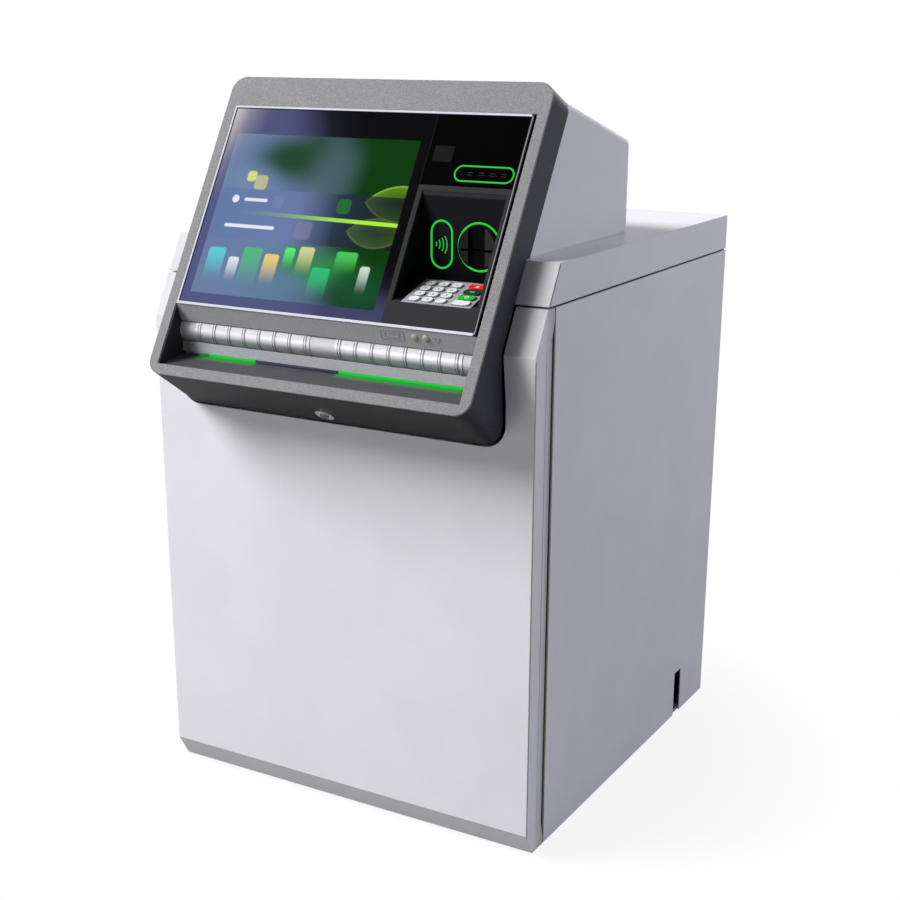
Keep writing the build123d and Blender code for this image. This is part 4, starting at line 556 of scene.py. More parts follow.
def screen_picture():
    """Lit screen: blurred picture, glassy band, line of light and menu tiles; round it a border with painted
    reflections and a painted glare, all glowing.
    """
    f = Finish("screen_glass_lit")
    along = f.along()
    u = (f.x - LIT_LEFT) / LIT_WIDTH
    v = (along - LIT_FOOT) / LIT_HEIGHT
    drift = f.noise(130, 1)

    # out-of-focus leaves: haze on the left, deep green on the right
    across = f.rise(u + (drift - 0.5) * 0.5 + (v - 0.6) * 0.25, 0.22, 0.8)
    ground = f.mix(across, (0.14, 0.215, 0.37), (0.003, 0.043, 0.003))
    for cu, cv, wide, high, colour, share in (
            (0.36, 0.86, 0.26, 0.17, (0.017, 0.062, 0.026), 1.0),
            (0.6, 0.8, 0.16, 0.24, (0.07, 0.13, 0.15), 0.7),
            (0.16, 0.7, 0.16, 0.14, (0.17, 0.26, 0.42), 0.6),
            (0.62, 0.2, 0.28, 0.14, (0.03, 0.26, 0.05), 0.8),
            (0.44, 0.08, 0.24, 0.14, (0.11, 0.2, 0.33), 0.9),
            (0.9, 0.1, 0.2, 0.16, (0.008, 0.075, 0.028), 0.9)):
        far = f.length((u - cu) / wide, (v - cv) / high)
        ground = f.mix(f.rise(far, 0.2, 1.25, share, 0.0), ground, colour)

    # two crossed leaf blades with lit rims, at the right
    rim_colour = (0.33, 0.68, 0.04)
    for cu, cv, size, share in ((0.9, 0.44, 0.3, 0.9), (0.985, 0.62, 0.36, 0.55)):
        a = f.length(u - cu, (v - cv) * 0.8 + size * 0.42)
        b = f.length(u - cu, (v - cv) * 0.8 - size * 0.42)
        blade = f.longer(a, b) - size * 0.66
        fill = f.rise(blade, -0.1, -0.004, 0.1, 0.7) * f.rise(blade, -0.002, 0.003, 1.0, 0.0)
        ground = f.mix(fill * share, ground, (0.25, 0.52, 0.03))
        ground = f.mix(f.rise(abs(blade + 0.004), 0.0, 0.007, share, 0.0), ground, rim_colour)

    # glassy band with a line of light through it
    band = f.band(v, 0.345, 0.655, 0.003)
    veil = f.ramp(u, [(0.0, (0.12, 0.19, 0.4)), (0.45, (0.15, 0.195, 0.4)),
                      (0.68, (0.02, 0.026, 0.055)), (1.0, (0.006, 0.01, 0.014))])
    ground = f.mix(band * 0.8, ground, veil)
    line = f.rise(abs(v - 0.505 + (u - 0.5) * 0.02), 0.009, 0.014, 1.0, 0.0)
    lime = f.mix(f.rise(u, 0.35, 0.9), (0.22, 0.42, 0.2), (0.43, 0.88, 0.045))
    ground = f.mix(line * f.rise(u, 0.1, 0.6), ground, lime)

    # drops of light above the band and in it
    for cu, cv, size, colour, share in (
            (0.155, 0.735, 0.026, (0.76, 0.76, 0.2), 0.9),
            (0.215, 0.7, 0.036, (0.62, 0.62, 0.26), 0.7),
            (0.7, 0.585, 0.036, (0.02, 0.17, 0.04), 0.8),
            (0.52, 0.425, 0.045, (0.28, 0.25, 0.4), 0.4),
            (0.34, 0.585, 0.03, (0.2, 0.25, 0.42), 0.5)):
        drop = f.plate(u, v * 0.8, cu, cv * 0.8, size, size, size * 0.55)
        ground = f.mix(f.rise(drop, -0.004, 0.003, share, 0.0), ground, colour)

    # menu tiles that fade downwards
    for cu, top, wide, tall, colour in (
            (0.085, 0.285, 0.048, 0.22, (0.12, 0.61, 0.68)),
            (0.19, 0.235, 0.03, 0.16, (0.76, 0.8, 0.84)),
            (0.285, 0.3, 0.052, 0.26, (0.09, 0.48, 0.22)),
            (0.395, 0.27, 0.04, 0.2, (0.86, 0.64, 0.2)),
            (0.485, 0.318, 0.028, 0.14, (0.1, 0.86, 0.16)),
            (0.575, 0.33, 0.04, 0.18, (0.66, 0.68, 0.3)),
            (0.675, 0.215, 0.05, 0.2, (0.03, 0.52, 0.2)),
            (0.79, 0.32, 0.056, 0.14, (0.07, 0.62, 0.1)),
            (0.9, 0.245, 0.026, 0.17, (0.62, 0.74, 0.64))):
        tile = f.plate(u, v * 0.8, cu, (top - tall / 2) * 0.8, wide, tall * 0.4, 0.014)
        fade = f.rise(v, top - tall, top, 0.0, 0.95)
        ground = f.mix(f.rise(tile, -0.004, 0.003, 1.0, 0.0) * fade, ground, colour)

    # round dot and two bars in the band, like a heading without words
    dot = f.rise(f.length((u - 0.1) * 1.26, v - 0.59), 0.022, 0.027, 1.0, 0.0)
    heading = f.rise(f.plate(u, v, 0.215, 0.59, 0.065, 0.009, 0.008), -0.003, 0.004, 1.0, 0.0)
    second = f.rise(f.plate(u, v, 0.22, 0.425, 0.14, 0.01, 0.009), -0.003, 0.004, 1.0, 0.0)
    ground = f.mix(f.longer(dot, f.longer(heading, second)) * 0.9, ground, (0.86, 0.88, 0.94))

    # glass border: painted reflections, slate at the left and black from the middle of the top on, and a
    # painted glare glowing in the upper left corner
    tint = f.rise(f.x + (along - 300) * 0.42, -235, 80)
    tint = f.shorter(tint, f.rise(along, 140, 240, 0.55, 1.0))
    border = f.ramp(tint, [(0.0, (0.086, 0.098, 0.225)), (0.45, (0.07, 0.08, 0.19)),
                           (0.8, (0.008, 0.009, 0.018)), (1.0, (0.002, 0.002, 0.003))])
    lit = f.rise(f.plate(u, v, 0.5, 0.5, 0.5, 0.5, 0.004), -0.003, 0.003, 1.0, 0.0)
    picture = f.mix(lit, border, ground)
    corner = f.length((f.x + 300) / 1.1, (along - 510) / 1.4)
    strip = f.rise(f.x, -300, -258, 1.0, 0.0) * f.rise(along, 300, 500)
    glare = f.rise(corner, 0, 85, 0.55, 0.0) + strip * 0.55
    picture = f.mix(glare, picture, (0.56, 0.52, 0.5))
    smear = f.noise(45, 3)
    f.fixed(Specular_IOR_Level=0.015)
    return f.paint((0.001, 0.001, 0.001), f.vary(smear, 0.06, 0.12), glow=picture)


def black_panel():
    """Glossy panel with faint slot marks beside the receipt slot."""
    f = Finish("panel_gloss_black")
    along = f.along()
    near = f.band(along, 396.2, 400.4, 0.4) * f.band(f.x, 191, 275, 0.4)
    dashes = (f.x * 0.31).math("SINE")
    marks = near * f.rise(dashes, -0.3, 0.5)
    base = f.mix(marks * 0.6, (0.0009, 0.0009, 0.0009), (0.1, 0.1, 0.11))
    base = f.mix(f.rise(f.x, 119.8, 120.4, 0.8, 0.0), base, (0.018, 0.018, 0.019))
    f.fixed(Specular_IOR_Level=0.012)
    return f.paint(base, f.vary(f.noise(30, 3), 0.1, 0.18), edge=0.5)


def recess_shell():
    """Keypad recess: dark grey frame strip, and near black walls with painted shade that lightens a little
    upwards and a painted green reflection on the left wall.
    """
    f = Finish("recess_plastic").fixed(Specular_IOR_Level=0.03)
    grain = f.noise(0.9, 2)
    depth = f.depth()
    strip = f.rise(depth, 3.5, 5.5, 1.0, 0.0)
    # painted shade: the walls are darker towards the bottom of the recess
    walls = f.mix(f.rise(f.z, 960, 1110), (0.0028, 0.0028, 0.0034), (0.0088, 0.0088, 0.0104))
    # painted reflection: a green tint on the left wall from the green lights
    walls = f.mix(f.rise(f.x, 124, 134, 0.5, 0.0), walls, (0.002, 0.008, 0.003))
    base = f.mix(strip, walls, (0.03, 0.029, 0.032))
    return f.grained(base, grain, 0.5, 0.4)


def reader_shell():
    """Card reader: satin disc painted darker on its left as shade, with its finger channel and slot painted
    near black as shade.
    """
    f = Finish("reader_plastic").fixed(Specular_IOR_Level=0.03)
    # painted shade: the finger channel and the card slot are darkened to near black
    channel = f.band(f.x, 219.4, 249.0, 0.5)
    slot = f.band(f.z, 1024.4, 1028.4, 0.5) * f.band(f.x, 205, 265, 0.5)
    dark = f.longer(channel, slot)
    # painted shade: the disc is darker on its left
    disc = f.mix(f.rise(f.x, 220, 250), (0.011, 0.011, 0.012), (0.026, 0.026, 0.028))
    base = f.mix(dark, disc, (0.0006, 0.0005, 0.0005))
    grain = f.noise(0.8, 2)
    return f.grained(base, grain, 0.42, 0.34)


def pocket_shell():
    """Note slot surround: grey roof, dark side walls, pale ledge, speckled tray with a painted pool of green
    light in front of the lit strips, bright hubs.
    """
    f = Finish("pocket_plastic").fixed(Specular_IOR_Level=0.2)
    grain = f.noise(1.1, 2, roughness=0.7)
    y = f.y - DRUM_Y
    z = f.z - DRUM_Z
    radius = f.length(y, z)
    roof = f.mix(f.rise(grain, 0.4, 0.6), (0.36, 0.36, 0.37), (0.5, 0.5, 0.51))
    wall = f.mix(f.rise(grain, 0.4, 0.6), (0.016, 0.016, 0.018), (0.028, 0.028, 0.03))
    tray = f.mix(f.rise(grain, 0.42, 0.58), (0.03, 0.03, 0.036), (0.082, 0.08, 0.09))
    ledge = f.mix(f.rise(grain, 0.4, 0.6), (0.31, 0.31, 0.34), (0.43, 0.43, 0.46))
    is_ledge = f.band(z, -37.0, -18.3, 0.2)
    is_tray = f.rise(z, -41.9, -41.5, 1.0, 0.0)
    is_wall = f.rise(abs(f.x), 298.6, 298.9)
    is_hub = f.rise(radius, 23.2, 23.5, 1.0, 0.0)
    base = f.mix(is_ledge, roof, ledge)
    front = DRUM_Y - 25.1 - f.y
    # painted light: a green pool of light on the tray in front of the lit strips
    lit = f.longer(f.band(f.x, -262, -142, 6), f.band(f.x, 30, 265, 6))
    tray = f.mix(f.rise(front, -1, 17, 0.38, 0.0) * lit, tray, (0.008, 0.42, 0.03))
    base = f.mix(is_tray, base, tray)
    base = f.mix(is_wall, base, wall)
    base = f.mix(is_hub, base, (0.56, 0.56, 0.59))
    gloss = f.vary(grain, 0.55, 0.45)
    return f.paint(base, gloss, is_hub * 0.45, bump=grain * (1 - is_hub), height=0.00005, edge=0.8)


def drum_alloy():
    """Turned alloy of the shutters: fine rings, and painted shade as a dark line along each rib's edges."""
    f = Finish("drum_alloy_turned")
    streak = f.noise(0.5, 3, (1, 40, 40))
    x = abs(f.x) - RIB_START
    near = abs(x / RIB_PITCH - (x / RIB_PITCH + 0.5).math("FLOOR")) * RIB_PITCH
    # painted shade: a pair of dark lines along the edges of each rib
    line = f.rise(abs(near - 2.1), 0.5, 1.1, 1.0, 0.0)
    base = f.vary(streak, (0.6, 0.6, 0.63), (0.67, 0.67, 0.7))
    base = f.mix(line * 0.85, base, (0.07, 0.07, 0.08))
    return f.grained(base, streak, 0.4, 0.34, 0.62, 0.000004, 0.0)


def lit_guide(name, colour):
    """Light guide: clear plastic lit from inside, a little uneven along its length."""
    f = Finish(name).fixed(Specular_IOR_Level=0.1)
    uneven = f.vary(f.noise(28, 2), 0.88, 1.0)
    glow = f.mix(uneven, shade(colour, 0.8), colour)
    return f.paint(shade(colour, 0.03), 0.3, glow=glow)


def keypad_metal():
    """Brushed keypad plate, with painted shade and a painted green reflection darkening it towards the rear
    left corner of the recess.
    """
    f = Finish("keypad_brushed")
    streak = f.noise(0.4, 3, (30, 1, 1))
    base = f.vary(streak, (0.4, 0.4, 0.44), (0.5, 0.5, 0.54))
    # painted shade and painted green reflection towards the rear left corner of the recess
    recess_painted_shade = f.rise(f.y, -372, -308) * f.rise(f.x, 150, 235, 1.0, 0.25)
    base = f.mix(recess_painted_shade * 0.65, base, (0.13, 0.15, 0.14))
    return f.grained(base, streak, 0.42, 0.3, 0.35, 0.000008, 0.4)


def key_plastic():
    """White keys, whose dished tops shade a little greyer, with painted shade and a painted green reflection
    towards the rear left corner of the recess.
    """
    f = Finish("key_white").fixed(Specular_IOR_Level=0.25)
    grain = f.noise(0.9, 2)
    # painted shade and painted green reflection towards the rear left corner of the recess
    recess_painted_shade = f.rise(f.y, -372, -308) * f.rise(f.x, 150, 235, 1.0, 0.25)
    base = f.mix(recess_painted_shade * 0.6, (0.66, 0.66, 0.7), (0.2, 0.22, 0.21))
    return f.grained(base, grain, 0.36, 0.28, height=0.00001, edge=0.6)


def paper_stock():
    """Receipt roll: fibres, and the fine layers of its ends."""
    f = Finish("paper_white")
    fibre = f.noise(1.2, 4)
    layers = f.noise(0.25, 1, (1, 1, 1))
    base = f.vary(fibre, (0.8, 0.8, 0.77), (0.9, 0.9, 0.88))
    return f.paint(base, 0.85, bump=layers, height=0.00003)


LAVENDER = (0.735, 0.73, 0.77)
PALE = (0.772, 0.764, 0.803)
FINISH_OF = {
    "cabinet_paint": cabinet_enamel("cabinet_enamel", LAVENDER, 1.2, "cabinet"),
    "door_paint": cabinet_enamel("door_enamel", PALE, 1.5, "door"),
    "frame_steel": cabinet_enamel("frame_coat", (0.11, 0.115, 0.125), 0.8),
    "zinc_steel": zinc_plate(),
    "safe_paint": hammered_coat(),
    "pad_rubber": plain_plastic("rubber_black", (0.014, 0.014, 0.014), 0.75),
    "anthracite": anthracite_shell(),
    "face_grey": speckled_face(),
    "bright_trim": frame_trim(),
    "screen_glass": screen_picture(),
    "black_gloss": black_panel(),
    "black_matte": recess_shell(),
    "reader_black": reader_shell(),
    "keypad_steel": keypad_metal(),
    "key_white": key_plastic(),
    "key_red": plain_plastic("key_red", (0.62, 0.02, 0.015), 0.3, height=0.00001),
    "key_dark": plain_plastic("key_dark", (0.02, 0.03, 0.026), 0.3, height=0.00001),
    "key_green": plain_plastic("key_green", (0.02, 0.42, 0.03), 0.3, height=0.00001),
    "pocket_grey": pocket_shell(),
    "drum_alloy": drum_alloy(),
    "guide_green": lit_guide("guide_lit_green", (0.02, 0.58, 0.06)),
    "module_grey": plain_plastic("module_grey", (0.105, 0.11, 0.12)),
    "module_alloy": bright_metal("module_alloy", (0.55, 0.56, 0.58), 0.36, (1, 20, 1), 0.6),
    "lock_chrome": bright_metal("lock_chrome", (0.86, 0.86, 0.88), 0.15),
    "paper": paper_stock(),
}
strip_light = lit_guide("strip_lit_green", (0.008, 0.56, 0.03))
dim_light = lit_guide("strip_dim_green", (0.01, 0.2, 0.03))
dark_strip = plain_plastic("strip_unlit", (0.04, 0.044, 0.085), 0.25)
ink_grey = plain_plastic("ink_grey", (0.06, 0.06, 0.07), edge=0)
ink_white = plain_plastic("ink_white", (0.8, 0.8, 0.8), edge=0)
roof_mark = plain_plastic("roof_mark", (0.33, 0.33, 0.34), 0.35, edge=0)
roof_gold = plain_plastic("roof_mark_gold", (0.46, 0.43, 0.34), 0.22, edge=0)
seal_green = plain_plastic("grip_green", (0.03, 0.24, 0.075), 0.42)
housing_black = plain_plastic("housing_black", (0.02, 0.02, 0.022), 0.45)
smoked = plain_plastic("camera_smoked", (0.0075, 0.0085, 0.008), 0.12, edge=0.3, height=0.0, specular=0.03)
OWN_FINISH = {
    "keypad_housing": housing_black,
    "camera_window": smoked,
    "contactless_reader": plain_plastic("tap_reader_black", (0.006, 0.006, 0.007), 0.45, specular=0.05),
    "lock_plug": bright_metal("lock_steel", (0.15, 0.15, 0.155), 0.26),
    "hood": cabinet_enamel("hood_enamel", LAVENDER, 7.0),
    "top_cover": cabinet_enamel("cover_enamel", LAVENDER, 2.6, "cabinet"),
}
SLOT_OF = {part["node"]: part["material_slot"] for part in frame["record"]["subparts"]}


def dress_nodes():
    """Every CAD node gets its own finish or that of its slot."""
    for name, node in frame["nodes"].items():
        finish = OWN_FINISH.get(name, FINISH_OF[SLOT_OF[name]])
        node.data.materials.clear()
        node.data.materials.append(finish)


# ------------------------------------------------------------------ keypad
KEY_ROWS = ("1 2 3 cancel", "4 5 6 clear", "7 8 9 enter", "blank_left 0 blank_right blank_wide")
KEY_COLUMNS = (166.0, 190.5, 215.0, 252.0)
FIRST_ROW = 66.5
ROW_PITCH = 18.5
KEY_TOP = 4.2


def key_mark(symbol, x, v):
    """Surfaces of a key's numeral, or its cross, bar or ring, a little above its dished top."""
    rise = KEY_TOP - 0.45
    plane = shifted(on_keypad, x, v)
    if symbol == "cancel":
        return [slab(shifted(plane, 0, 0, turn), 8.0, 1.3, 0.2, 0.3, 0.05, foot=rise) for turn in (45, -45)]
    if symbol == "clear":
        return [slab(plane, 9.0, 1.3, 0.2, 0.3, 0.05, foot=rise)]
    if symbol == "enter":
        section = [(0, rise), (0, rise + 0.2), (1.2, rise + 0.2), (1.2, rise)]
        return [pressed(plane, circle(3.6, 32), section, closed=True)]
    return [lettered(symbol, 7.5, on_keypad, (x, v), rise + 0.06)]


def make_keys():
    """Keys as rounded caps with a dished top, and their marks."""
    profile = [(0.0, -2.6), (0.0, 3.1), (-1.1, 3.15), (-1.1, 3.6), (-0.8, 3.95), (0.0, KEY_TOP),
               (0.8, KEY_TOP), (2.4, KEY_TOP - 0.3), (4.6, KEY_TOP - 0.5)]
    for row, symbols in enumerate(KEY_ROWS):
        v = FIRST_ROW - ROW_PITCH * row
        for x, symbol in zip(KEY_COLUMNS, symbols.split()):
            name = "key_" + symbol
            width = 29.0 if x == KEY_COLUMNS[-1] else 16.0
            cap = pressed(on_keypad, rounded(width, 12.5, 5.2), profile, (x, v))
            piece(name + "_cap", [cap], SLOT_OF[name], name, stands_for=[name])
            if not symbol.startswith("blank"):
                ink = ink_grey if symbol.isdigit() else ink_white
                piece(name + "_mark", key_mark(symbol, x, v), SLOT_OF[name], name, finish=ink)


# ------------------------------------------------------------------ light guides and reader marks
def make_lights():
    """Lit rings round the card, tap and receipt places, and the lit strips over the tray."""
    wall = facing("front", BACK_WALL_Y)
    card = pressed(shifted(wall, 235.0, READER_Z), circle(40.0, 72), half_round(3.4, 1.3), closed=True)
    piece("card_ring_light", [card], "guide_green", "fascia", stands_for=["light_guides"])
    tap = pressed(shifted(wall, 165.0, READER_Z), rounded(42.0, 80.0, 21.0, 14), half_round(3.4, 1.3),
                  closed=True)
    piece("tap_ring_light", [tap], "guide_green", "fascia")
    receipt = pressed(shifted(on_face, 232.9, 398.3), rounded(109.0, 29.0, 14.5, 14),
                      half_round(2.8, 1.1, foot=-0.5), closed=True)
    piece("receipt_ring_light", [receipt], "guide_green", "fascia")
    front = facing("front", DRUM_Y - 18.72)
    z = DRUM_Z - 36.4 - 0.3 - 2.5
    for name, x0, x1, finish in (("left_dim", -262.6, -241.0, dim_light),
                                 ("left", -241.0, -141.7, strip_light),
                                 ("middle", -141.7, 29.4, dark_strip),
                                 ("right", 29.4, 265.0, strip_light)):
        strip = slab(front, x1 - x0 - 0.2, 5.0, 6.4, 0.8, 0.5, ((x0 + x1) / 2, z), -6.0)
        piece("strip_light_" + name, [strip], "guide_green", "fascia", finish=finish)


def make_tap_mark():
    """Plain wave arcs on the tap reader, about one centre and opening to the left."""
    wall = facing("front", BACK_WALL_Y)
    turn = np.linspace(-radians(33), radians(33), 17)
    arcs = [tube(wall(149.5 + radius * np.cos(turn), READER_Z + radius * np.sin(turn), 0.55) / MM, 0.9)
            for radius in (6, 12.5, 19, 25.5)]
    piece("tap_waves", arcs, "guide_green", "fascia")


# ------------------------------------------------------------------ note slot
def drum_grid(side, start, end, x0, x1, count):
    """Shutter shell between two angles: the radius follows the ribs along x."""
    ribs = RIB_START + RIB_PITCH * np.arange(8)
    steps = np.array([-3.4, -3.0, 3.0, 3.4])
    stations = np.concatenate([[x0, x1], (ribs[:, None] + steps).ravel()])
    stations = np.unique(stations[(stations >= x0) & (stations <= x1)])
    near = np.abs(stations[:, None] - ribs).min(1)
    radius = np.interp(near, [3.0, 3.4], [24.8, 24.0])
    turn = np.linspace(start, end, count)
    x = np.broadcast_to(side * stations[:, None], (len(stations), count))
    return x, radius[:, None] * np.cos(turn), radius[:, None] * np.sin(turn)


def shutter_surfaces(side):
    """Ribbed shutter: two shells with the notes' mouth between them, and a full end at each side."""
    made = []
    gap = 5.5 / 24.0
    order = 1 if side > 0 else -1
    for middle in (0.0, pi):
        x, y, z = drum_grid(side, middle - pi / 2 + gap, middle + pi / 2 - gap, 39.5, 252.5, 33)
        grid = rows_of(x, DRUM_Y + y, DRUM_Z + z)[:, ::order]
        made.append(surface(grid))
    for x0, x1 in ((25.5, 39.5), (252.5, 266.5)):
        x, y, z = drum_grid(side, 0, 2 * pi * 71 / 72, x0, x1, 72)
        grid = rows_of(x, DRUM_Y + y, DRUM_Z + z)[:, ::order]
        made.append(surface(grid))
    return made


def make_shutters():
    """The two ribbed shutters in place of their plain solids."""
    for name, side in (("shutter_left", -1), ("shutter_right", 1)):
        piece(name + "_drum", shutter_surfaces(side), "drum_alloy", name, stands_for=[name])


def on_roof(u, v, w):
    """Plane of the note slot's roof: u along x, v from its front edge to the rear, w downwards out of it."""
    front = on_face(0, 129.3, -1.0)[1:] / MM
    rear = on_face(0, 102.8 + 26.0 * 0.21, 26.0 * 0.98 - 53.0)[1:] / MM
    unit = (rear - front) / np.linalg.norm(rear - front)
    normal = (unit[1], -unit[0])
    y = front[0] + v * unit[0] + w * normal[0]
    z = front[1] + v * unit[1] + w * normal[1]
    return rows_of(u, y, z)


def make_roof_marks():
    """Small raised signs under the note slot's roof: a note outline, two coins and a wedge."""
    plane = shifted(on_roof, 156.0, 14.0)
    frame_section = [(0, -0.2), (0, 0.5), (0.9, 0.5), (0.9, -0.2)]
    outlines = [pressed(plane, rounded(44.0, 17.0, 1.5, 2), frame_section, (-16.0, 0), closed=True),
                pressed(plane, rounded(28.0, 9.0, 1.0, 2), frame_section, (-16.0, 0), closed=True)]
    piece("roof_sign_note", outlines, "pocket_grey", "fascia", finish=roof_mark)
    dome = [(0.0, -0.2), (0.0, 0.5), (0.8, 1.2), (2.2, 1.8), (4.0, 2.0)]
    coins = [pressed(plane, circle(6.5, 24), dome, (u, 0)) for u in (26.0, 47.0)]
    piece("roof_sign_coins", coins, "pocket_grey", "fascia", finish=roof_gold)
    wedge = pressed(shifted(plane, 68.0, 0, 90), circle(7.5, 3), frame_section, closed=True)
    piece("roof_sign_wedge", [wedge], "pocket_grey", "fascia", finish=roof_mark)


# ------------------------------------------------------------------ fasteners and small fittings
def screws(place, spots, radius=4.5, proud=1.4):
    """Button-head screws: a dome that falls into a socket, carried round a circle."""
    profile = [(0, -0.3), (0, proud * 0.35), (radius * 0.2, proud * 0.85), (radius * 0.4, proud),
               (radius * 0.55, proud), (radius * 0.6, proud * 0.3)]
    return [pressed(place, circle(radius, 18), profile, spot) for spot in spots]


def bead(place, width, height, corner, stroke, proud, centre):
    """Raised rounded line round a rectangle with round corners."""
    return pressed(place, rounded(width, height, corner), half_round(stroke, proud), centre, closed=True)


def gear(place, radius, teeth, thickness, centre):
    """Toothed wheel: the outline's radius follows a rounded square wave."""
    turn = np.arange(teeth * 6) * 2 * pi / (teeth * 6)
    wave = radius + 1.3 * np.tanh(3 * np.sin(teeth * turn))
    normal = np.stack([np.cos(turn), np.sin(turn)], -1)
    web, hub = thickness * 0.6, thickness + 1.5
    profile = [(0, -0.3), (0, thickness - 0.4), (0.4, thickness), (radius * 0.3, thickness),
               (radius * 0.34, web), (radius * 0.7, web), (radius * 0.72, hub), (radius * 0.85, hub)]
    return pressed(place, (wave[:, None] * normal, normal), profile, centre)


# ------------------------------------------------------------------ cabinet details
def make_grip_strip():
    """Tapered strip that eases the bevel along the door's free rear edge, and runs out at both ends."""
    levels = np.array([16.0, 44.0, 898.3, 926.3])[:, None]
    share = np.array([0.02, 1.0, 1.0, 0.02])[:, None]
    inward = np.array([0.0, 3.4, 8.2]) * share + 0.03
    forward = np.array([26.0, 0.0, 0.0]) * share
    grid = rows_of(HALF_WIDTH - inward, DOOR_REAR_Y - forward, levels)
    piece("door_grip_strip", [surface(grid)], "door_paint", "front_door")


def make_seam_gasket():
    """Dark strips in the seam between the cover and the side and rear panels."""
    seam = facing("top", SEAM_Z - 1.8)
    strips = [slab(seam, 3.4, 752, 3.6, 0.5, 0.2, (side * 375.6, 86)) for side in (1, -1)]
    strips.append(slab(seam, 744, 3.4, 3.6, 0.5, 0.2, (0, 460.5)))
    piece("seam_gasket", strips, "pad_rubber")


def make_rear_details():
    """Panel screws, mains inlet with its switch, and a plate of two network sockets."""
    rear = facing("rear", REAR_Y)
    spots = [(u, v) for u in (-362, 362) for v in (34, 330, 626, 922)] + [(-120, 922), (120, 922)]
    piece("rear_screws", screws(rear, spots), "zinc_steel")
    inlet = shifted(rear, -299.7, 136.0)
    piece("inlet_plate", [slab(inlet, 58, 42, 1.0, 2, 0.4, foot=-0.2)], "frame_steel")
    collar = [bead(inlet, 29, 22, 4, 1.6, 1.6, (-10, 0)), slab(inlet, 13, 23, 2.2, 1.5, 0.5, (17, 0), 0.6),
              slab(inlet, 26, 19, 0.5, 3, 0.2, (-10, 0), 0.6)]
    piece("inlet_socket", collar, "pad_rubber", finish=housing_black)
    pins = [slab(inlet, 2.2, 6.0, 0.7, 0.4, 0.2, (-10 + u, v), 1.0) for u, v in ((-6, -1), (6, -1), (0, 3.5))]
    rocker = slab(inlet, 9, 9, 0.9, 1.2, 0.4, (17, 5), 2.4)
    piece("inlet_pins", pins + screws(inlet, [(-26, 0), (26, 0)], 2.2, 0.8), "lock_chrome")
    piece("inlet_rocker", [rocker], "pad_rubber")
    jacks = shifted(rear, -180.0, 136.0)
    plate = [slab(jacks, 78, 34, 1.0, 2, 0.4, foot=-0.2)] + screws(jacks, [(-33, 0), (33, 0)], 2.6, 1.8)
    piece("jack_plate", plate, "zinc_steel")
    mouths = [slab(jacks, 17, 14, 1.4, 1.0, 0.4, (u, 0)) for u in (-12, 12)]
    piece("jack_mouths", mouths, "pad_rubber", finish=housing_black)
    hood_rear = facing("rear", 117.0)
    piece("hood_screws", screws(hood_rear, [(-285, 1036), (0, 1036), (285, 1036)], 5.0, 1.8), "zinc_steel")


def make_cassette_fronts():
    """Beads, latches, level windows and numerals on the cassettes' fronts."""
    front = facing("front", CASSETTE_FRONT_Y)
    beads, latches, panes, marks = [], [], [], []
    for index in range(5):
        foot = CASSETTE_FOOT_Z + CASSETTE_PITCH * index
        beads.append(bead(front, 230, 110, 6, 3.0, 1.2, (0, foot + 58)))
        beads.append(bead(front, 124, 51, 3, 2.4, 1.0, (0, foot + 63.8)))
        beads.append(bead(front, 26, 40, 3, 2.0, 1.4, (89, foot + 50)))
        latches += [turned((-89, CASSETTE_FRONT_Y, foot + 60), (0, -1, 0),
                           [(-0.3, 11), (2.4, 11), (3.2, 10), (3.2, 6.5), (1.6, 6), (1.6, 4)], 28)]
        latches += screws(front, [(u, foot + v) for u in (-108, 108) for v in (8, 108)], 3.0, 1.0)
        panes.append(slab(front, 22, 36, 0.8, 2, 0.3, (89, foot + 50), -0.2))
        if index < 4:                 # the fifth, the reject bin, has a bar and no numeral
            marks.append(lettered(str(index + 1), 17, front, (89, foot + 90), 0.12, 0.2))
        else:
            marks.append(slab(front, 14, 3, 0.3, 1, 0.1, (89, foot + 90)))
    piece("cassette_beads", beads, "module_grey")
    piece("cassette_latches", latches, "lock_chrome")
    piece("cassette_windows", panes, "black_gloss", finish=smoked)
    piece("cassette_marks", marks, "key_white", finish=ink_white)


def make_transport_details():
    """Belts and rollers over the throat, a hand wheel and cover screws on the note path."""
    throat = facing("top", DRUM_Z + 11.0)
    riser = facing("front", -290.0)
    belts = [slab(throat, 12, 40, 0.9, 1, 0.3, (u, -312), -0.2) for u in (-84, -42, 0, 42, 84)]
    belts += [slab(riser, 12, 120, 0.9, 1, 0.3, (u, 780), -0.2) for u in (-84, -42, 0, 42, 84)]
    piece("note_belts", belts, "pad_rubber")
    rollers = [turned((u - 9, -296, DRUM_Z + 12), (1, 0, 0), [(0, 4), (1, 5.4), (17, 5.4), (18, 4)], 24)
               for u in (-84, -42, 0, 42, 84)]
    rollers += [turned((-104, -296, DRUM_Z + 12), (1, 0, 0), [(0, 2), (208, 2)], 16)]
    rollers += screws(facing("top", 742.3), [(u, v) for u in (-96, 96) for v in (-200, 0, 200)], 4.0)
    rollers += screws(riser, [(-101, 722), (101, 722), (-101, 838), (101, 838)], 4.0)
    piece("note_rollers", rollers, "zinc_steel")
    knob = gear(facing("right", 110.0), 17.0, 18, 9.0, (-262, 800))
    piece("note_hand_wheel", [knob], "key_green", finish=seal_green)


